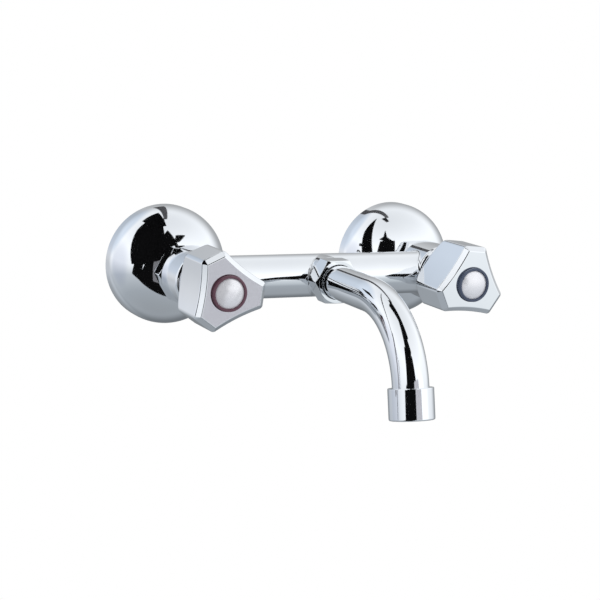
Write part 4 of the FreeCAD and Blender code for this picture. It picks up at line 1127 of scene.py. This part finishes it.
@dataclass
class Spout:
    """The swivelling spout, its nut and its aerator."""

    workshop: Workshop
    radius: float = 9.6
    wall: float = 1.2
    root: float = 62.5
    sleeve_bore: float = 6.6
    bend_start: float = 118.0
    bend_radius: float = 50.0
    bend_angle: float = np.radians(78.0)
    tip: float = 7.6
    ring_middles: tuple[float, float] = (67.4, 71.6)
    ring_section: float = 1.6
    groove_share: float = 1.5
    retainer_groove: Triple = (76.6, 78.4, 8.6)
    nut_back: float = 69.0
    nut_front: float = 80.4
    nut_flats: float = 24.2
    nut_bore: float = 10.96
    nut_gap: float = 0.35
    nut_lip: float = 1.8
    aerator_radius: float = 12.0
    aerator_length: float = 16.6
    bush_radius: float = 10.9
    thread_gap: float = 0.06
    aerator_lip: float = 1.4
    outlet_recess: float = 1.2
    edge: float = 0.15
    tube_columns: int = 112
    tube_rows: int = 74
    bore_rows: int = 44
    aerator_columns: int = 128

    @property
    def bend_end(self) -> float:
        """Gives the station at which the bend ends."""
        return self.bend_start + self.bend_radius * self.bend_angle

    def path(self, station: Array) -> tuple[Array, Array]:
        """Gives the place and the sideways direction of the spout's centre line.

        Up to the bend the line runs straight out. In the bend the angle is the station's overshoot divided by
        the bend's radius, and beyond it the line runs on straight at the last angle.

        Args:
            station: depths along the straight, then lengths along the line beyond it.

        Returns:
            Places as (depth, height), and the direction that points to the outside of the bend.
        """
        turn = np.clip((station - self.bend_start) / self.bend_radius, 0.0, self.bend_angle)
        straight = np.minimum(station, self.bend_start)
        beyond = np.maximum(station - self.bend_end, 0.0)
        depth = straight + self.bend_radius * np.sin(turn) + beyond * np.cos(turn)
        height = -self.bend_radius * (1 - np.cos(turn)) - beyond * np.sin(turn)
        return joined(depth, height), joined(np.sin(turn), np.cos(turn))

    def tube(self) -> None:
        """Builds the bent tube.

        A profile of (radius, station) with grooves and bore is carried along the path. Each point is the
        place on the centre line, plus the radius times (cosine sideways, sine to the outside of the bend).
        """
        end, edge = self.bend_end + self.tip, self.edge
        half = self.ring_section * self.groove_share / 2
        floor = self.radius - self.ring_section
        bore = self.radius - self.wall
        high = self.retainer_groove[1]
        grooves = [(middle - half, middle + half, floor) for middle in self.ring_middles]
        corners = [(self.sleeve_bore, self.root, edge), (self.radius, self.root, edge)]
        for start, stop, bottom in (*grooves, self.retainer_groove):
            corners += [(self.radius, start, edge), (bottom, start, edge)]
            corners += [(bottom, stop, edge), (self.radius, stop, edge)]
        corners += [(self.radius, station, 0.0) for station in np.linspace(high + 6, end - 1, self.tube_rows)]
        corners += [(self.radius, end, edge), (bore, end, edge)]
        corners += [(bore, station, 0.0)
                    for station in np.linspace(end - 1, self.nut_front + 1, self.bore_rows)]
        profile = rounded(corners + [(self.sleeve_bore, high, edge)], steps=3, support=0.1)
        place, outside = self.path(profile[:, 1])
        angle = full_turn(self.tube_columns)
        away = (profile[:, :1] * np.sin(angle))[..., None] * outside[:, None, :] + place[:, None, :]
        grid = out_of_wall(profile[:, :1] * np.cos(angle), away[..., 0], away[..., 1])
        self.workshop.make("bent_spout", [Shell.from_grid(grid)], "spout", "chrome", "spout_tube")

    def nut(self) -> None:
        """Builds the nut that holds the spout."""
        shell = hexagonal_nut(Axis(), self.nut_flats, self.nut_back, self.nut_front, self.nut_bore,
                              self.radius + self.nut_gap, self.nut_lip)
        self.workshop.make("swivel_nut", [shell], "mixer", "chrome", "spout_nut")

    def aerator(self) -> None:
        """Builds the aerator's housing, a turned sleeve with soft edges on the spout's end."""
        depth, height = self.path(np.array(self.bend_end))[0]
        axis = Axis((0.0, -depth, height), (0.0, -np.cos(self.bend_angle), -np.sin(self.bend_angle)))
        thread = self.bush_radius + self.thread_gap
        hole = self.bush_radius - self.aerator_lip
        insert_end = self.aerator_length - self.outlet_recess
        profile = rounded([
            (thread, 0.0, self.edge), (self.aerator_radius, 0.0, 0.6),
            (self.aerator_radius, self.aerator_length, 0.8), (hole, self.aerator_length, 0.3),
            (hole, insert_end, 0.2), (thread, insert_end, 0.1),
        ], steps=7)
        self.workshop.make("aerator_sleeve", [turned(profile, axis, self.aerator_columns)], "spout", "chrome",
                           "aerator_housing")

    def build(self) -> None:
        """Builds the tube, the nut and the aerator."""
        self.tube()
        self.nut()
        self.aerator()


# Studio

@dataclass(frozen=True)
class Shade:
    """A soft spot of the tent, in which each colour loses a share of its glow or, below 0, gains one.

    It starts where the cosine of the angle from its direction is `start`, and it is full at `full`.
    """

    towards: Triple
    start: float
    full: float
    loss: Triple


@dataclass(frozen=True)
class Card:
    """A flat card round the tap: its tone, its middle, how it is turned, and half its width and height.

    Its level edges run along (cosine, sine) of the yaw, and its other edges lean from upright by the tilt.
    """

    tone: float
    centre: Triple
    yaw: float
    tilt: float
    half: tuple[float, float]
    thickness: float = 4.0

    def shell(self) -> Shell:
        """Works out the card as a thin closed box.

        Returns:
            The card as a closed shell.
        """
        turn, lean = np.radians([self.yaw, self.tilt])
        level = np.array([np.cos(turn), np.sin(turn), 0.0])
        lying = np.array([-np.sin(turn), np.cos(turn), 0.0])
        upright = np.sin(lean) * lying + np.array([0.0, 0.0, np.cos(lean)])
        wide = np.array([0.0, 1.0, 1.0, 0.0])[:, None] * np.sqrt(2.0)
        angle = np.pi / 4 + full_turn(4)
        across = wide * np.cos(angle) * self.half[0]
        along = wide * np.sin(angle) * self.half[1]
        side = np.array([-0.5, -0.5, 0.5, 0.5])[:, None, None] * self.thickness * np.cross(level, upright)
        grid = np.array(self.centre) + across[..., None] * level + along[..., None] * upright + side
        return Shell.from_grid(grid, Ends.POLES)


@dataclass
class Studio:
    """Camera, world, floor, lamps, and the tent and cards that only reflections show.

    A tone of the tent is a place on the ramp over its height, the glow there and how red that is beside blue.
    The first seven cards give the black shapes on the flanges, spout and aerator. The next two give the
    spout's upper stripe. The last two are paler, for the left handle's front and inside the left flange's
    black shape.
    """

    azimuth: float = -25.97
    elevation: float = 10.41
    roll: float = 2.82
    distance: float = 861.74
    target: Triple = (-8.47, -50.0, -15.46)
    lens: float = 89.79
    sensor: float = 36.0
    clip: tuple[float, float] = (10.0, 20000.0)
    room_tone: Triple = (0.93, 0.96, 1.0)
    room_light: float = 0.7
    middle: Triple = (0.0, -90.0, 0.0)
    floor_drop: float = 620.0
    floor_radius: float = 780.0
    floor_rings: tuple[float, float] = (300.0, 600.0)
    floor_thickness: float = 20.0
    floor_tone: Triple = (0.95, 0.95, 0.955)
    card_tint: Triple = (1.0, 0.97, 1.0)
    tent_radius: float = 3000.0
    tent_rows: int = 49
    tent_tones: tuple[Triple, ...] = ((0.0, 0.39, 0.86), (0.17, 0.46, 0.84), (0.36, 0.64, 0.87),
                                      (0.5, 1.04, 0.94), (0.7, 1.17, 0.95), (1.0, 0.9, 0.94))
    shades: tuple[Shade, ...] = (
        Shade((0.43, 0.885, -0.18), 0.35, 0.95, (0.6, 0.6, 0.6)),
        Shade((-0.33, 0.86, 0.39), 0.88, 0.97, (0.3, 0.24, 0.16)),
        Shade((-0.4, 0.91, -0.08), 0.93, 0.99, (-0.14, -0.13, -0.14)),
        Shade((-0.18, 0.87, -0.46), 0.92, 0.985, (-0.4, -0.4, -0.4)),
        Shade((-0.9, 0.43, -0.05), 0.84, 0.97, (0.16, 0.15, 0.1)),
        Shade((0.54, -0.83, -0.15), 0.84, 0.95, (-0.2, -0.2, -0.18)),
    )
    cards: tuple[Card, ...] = (
        Card(0.006, (-179.8, -637.2, 220.7), -33.0, -13.3, (258.3, 307.4)),
        Card(0.006, (-324.5, 24.0, 315.2), -0.9, 28.4, (231.1, 346.9)),
        Card(0.006, (-142.1, -374.3, 226.5), 54.9, 16.1, (177.0, 168.1)),
        Card(0.006, (-344.2, -442.3, -121.0), 5.7, -34.3, (286.6, 201.7)),
        Card(0.006, (-17.2, -208.1, 157.7), 5.4, -71.7, (23.1, 91.7)),
        Card(0.006, (-328.0, -138.7, -29.6), -4.8, -18.9, (91.2, 58.9)),
        Card(0.006, (-95.4, -15.2, 68.8), -0.2, -84.4, (13.9, 21.2)),
        Card(0.1, (62.3, 390.5, 806.3), -9.1, -33.3, (50.0, 540.0)),
        Card(0.02, (-116.7, -31.2, 1483.3), -9.1, -33.3, (75.0, 370.0)),
        Card(0.85, (11.0, -278.0, -34.0), 26.0, 0.0, (28.0, 30.0)),
        Card(0.3, (-120.0, -140.0, -10.0), 0.0, 0.0, (18.0, 45.0)),
    )
    lamps: tuple[tuple[str, Triple], ...] = (("left_lamp", (-1300.0, -1200.0, 1500.0)),
                                             ("right_lamp", (1600.0, -1000.0, 1200.0)))
    lamp_size: float = 1100.0
    lamp_power: float = 10.0
    stage: list[bpy.types.Object] = field(default_factory=list)

    def camera(self) -> None:
        """Sets the camera where the photograph was taken from."""
        turn, lift, roll = np.radians([self.azimuth, self.elevation, self.roll])
        back = np.array([np.sin(turn) * np.cos(lift), -np.cos(turn) * np.cos(lift), np.sin(lift)])
        right = np.array([np.cos(turn), np.sin(turn), 0.0])
        up = np.cross(back, right)
        right, up = right * np.cos(roll) + up * np.sin(roll), up * np.cos(roll) - right * np.sin(roll)
        place = (np.array(self.target) + back * self.distance) * MM
        data = bpy.data.cameras.new("photograph_camera")
        data.lens, data.sensor_width = self.lens, self.sensor
        data.clip_start, data.clip_end = (distance * MM for distance in self.clip)
        made = add_object("photograph_camera", data)
        made.matrix_world = Matrix([[right[i], up[i], back[i], place[i]] for i in range(3)] + [[0, 0, 0, 1]])
        bpy.context.scene.camera = made

    def world(self) -> None:
        """Makes the world white where it is seen, reflected or seen through, and softly lit otherwise."""
        world = bpy.data.worlds.new("white_room")
        bpy.context.scene.world = world
        world.use_nodes = True
        world.node_tree.nodes.clear()
        graph = Graph(world.node_tree)
        rays = graph.add("ShaderNodeLightPath").outputs
        seen = graph.math("ADD", rays["Is Camera Ray"], rays["Is Glossy Ray"])
        seen = graph.math("ADD", seen, rays["Is Transmission Ray"], clamp=True)
        soft = graph.add("ShaderNodeBackground", {"Color": (*self.room_tone, 1.0),
                                                  "Strength": self.room_light})
        white = graph.add("ShaderNodeBackground", {"Color": (1.0, 1.0, 1.0, 1.0), "Strength": 1.0})
        mix = graph.add("ShaderNodeMixShader", {"Fac": seen, "1": soft.outputs[0], "2": white.outputs[0]})
        graph.add("ShaderNodeOutputWorld", {"Surface": mix.outputs[0]})

    def tent_material(self) -> bpy.types.Material:
        """Makes the tent's material.

        Its glow depends on the direction from the tap. A ramp over the height gives a grey ground, a bright
        horizon and a paler ceiling. Each shade then takes its loss away, times a soft step over the cosine of
        the angle from its direction.

        Returns:
            The material, which lights nothing but what mirrors it.
        """
        material = bpy.data.materials.new("soft_tent")
        material.use_nodes = True
        material.cycles.emission_sampling = "NONE"
        graph = Graph(material.node_tree)
        shader = material.node_tree.nodes["Principled BSDF"].inputs
        shader["Base Color"].default_value = (0.0, 0.0, 0.0, 1.0)
        shader["Specular IOR Level"].default_value = 0.0
        shader["Emission Strength"].default_value = 1.0
        place = graph.add("ShaderNodeTexCoord").outputs["Object"]
        place = graph.math("SUBTRACT", place, tuple(part * MM for part in self.middle), vector=True)
        place = graph.math("NORMALIZE", place, vector=True)
        height = graph.add("ShaderNodeSeparateXYZ", {"0": place}).outputs["Z"]
        colour = graph.ramp(graph.spread(height, -1.0, 1.0), [
            (stop, (tone * red, tone * (1.0 + red) / 2, tone)) for stop, tone, red in self.tent_tones])
        for shade in self.shades:
            cosine = graph.math("DOT_PRODUCT", place, shade.towards, vector=True)
            share = graph.spread(cosine, shade.start, shade.full, kind="SMOOTHSTEP")
            loss = graph.math("MULTIPLY", shade.loss, share, vector=True)
            rest = graph.math("SUBTRACT", (1.0, 1.0, 1.0), loss, vector=True)
            colour = graph.math("MULTIPLY", colour, rest, vector=True)
        graph.join(colour, shader["Emission Color"])
        return material

    def add(self, name: str, shell: Shell, material: bpy.types.Material, mirrored: bool = True) -> None:
        """Adds a piece to the stage.

        Args:
            name: name of the piece.
            shell: its surface.
            material: its material.
            mirrored: whether only reflections show it, or everything but reflections.
        """
        mesh = bpy.data.meshes.new(name)
        mesh.from_pydata((shell.points * MM).tolist(), [], shell.faces)
        mesh.materials.append(material)
        made = add_object(name, mesh)
        for ray in ("camera", "diffuse", "shadow", "transmission") if mirrored else ("glossy",):
            setattr(made, "visible_%s" % ray, False)
        self.stage.append(made)

    def plain(self, name: str, tone: Triple, roughness: float) -> bpy.types.Material:
        """Builds a matt material with a faint mottle in its colour."""
        return Finish(name, tone, tuple(part * 1.02 for part in tone), 0.0, roughness, roughness + 0.05,
                      relief=Effect.GRAIN, relief_depth=0.01, specular=0.0).build()

    def surroundings(self) -> None:
        """Lays a round floor under the tap and hangs the tent and the cards round it."""
        top, under = self.floor_drop, self.floor_drop + self.floor_thickness
        profile = [(radius, top) for radius in (0.0, *self.floor_rings, self.floor_radius)]
        profile += [(self.floor_radius, under), (0.0, under)]
        floor = turned(np.array(profile), Axis(self.middle, (0.0, 0.0, -1.0)), ends=Ends.POLES)
        self.add("pale_floor", floor, self.plain("pale_floor", self.floor_tone, roughness=0.6),
                 mirrored=False)
        lift = np.linspace(-1.0, 1.0, self.tent_rows) * np.pi / 2
        tent = turned(self.tent_radius * polar(lift), Axis(self.middle, (0.0, 0.0, 1.0)), ends=Ends.POLES)
        self.add("soft_tent", tent, self.tent_material())
        for number, card in enumerate(self.cards, 1):
            name = "card_%d" % number
            tone = tuple(card.tone * part for part in self.card_tint)
            self.add(name, card.shell(), self.plain(name, tone, roughness=0.9))

    def light(self) -> None:
        """Hangs two large soft lamps that look at the tap."""
        for name, place in self.lamps:
            data = bpy.data.lights.new(name, "AREA")
            data.shape, data.size, data.energy = "DISK", self.lamp_size * MM, self.lamp_power
            made = add_object(name, data)
            made.location = Vector(place) * MM
            made.rotation_euler = (Vector(self.middle) - Vector(place)).to_track_quat("-Z", "Y").to_euler()
            made.visible_camera = made.visible_glossy = False
            self.stage.append(made)

    def build(self) -> None:
        self.camera()
        self.world()
        self.surroundings()
        self.light()
        bpy.context.scene.view_settings.view_transform = "Standard"


def main() -> None:
    """Builds the tap piece by piece, then the studio round it."""
    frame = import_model()
    workshop = Workshop()
    workshop.dress_frame(frame)
    for side in Side:
        WallFitting(side, workshop).build()
    MixerBody(workshop).build()
    Handle(Side.LEFT, workshop, turned_by=-6.0).build()
    Handle(Side.RIGHT, workshop, turned_by=85.0).build()
    Spout(workshop).build()
    Studio().build()


if __name__ == "__main__":
    logging.basicConfig(level=logging.INFO, format="%(message)s")
    main()
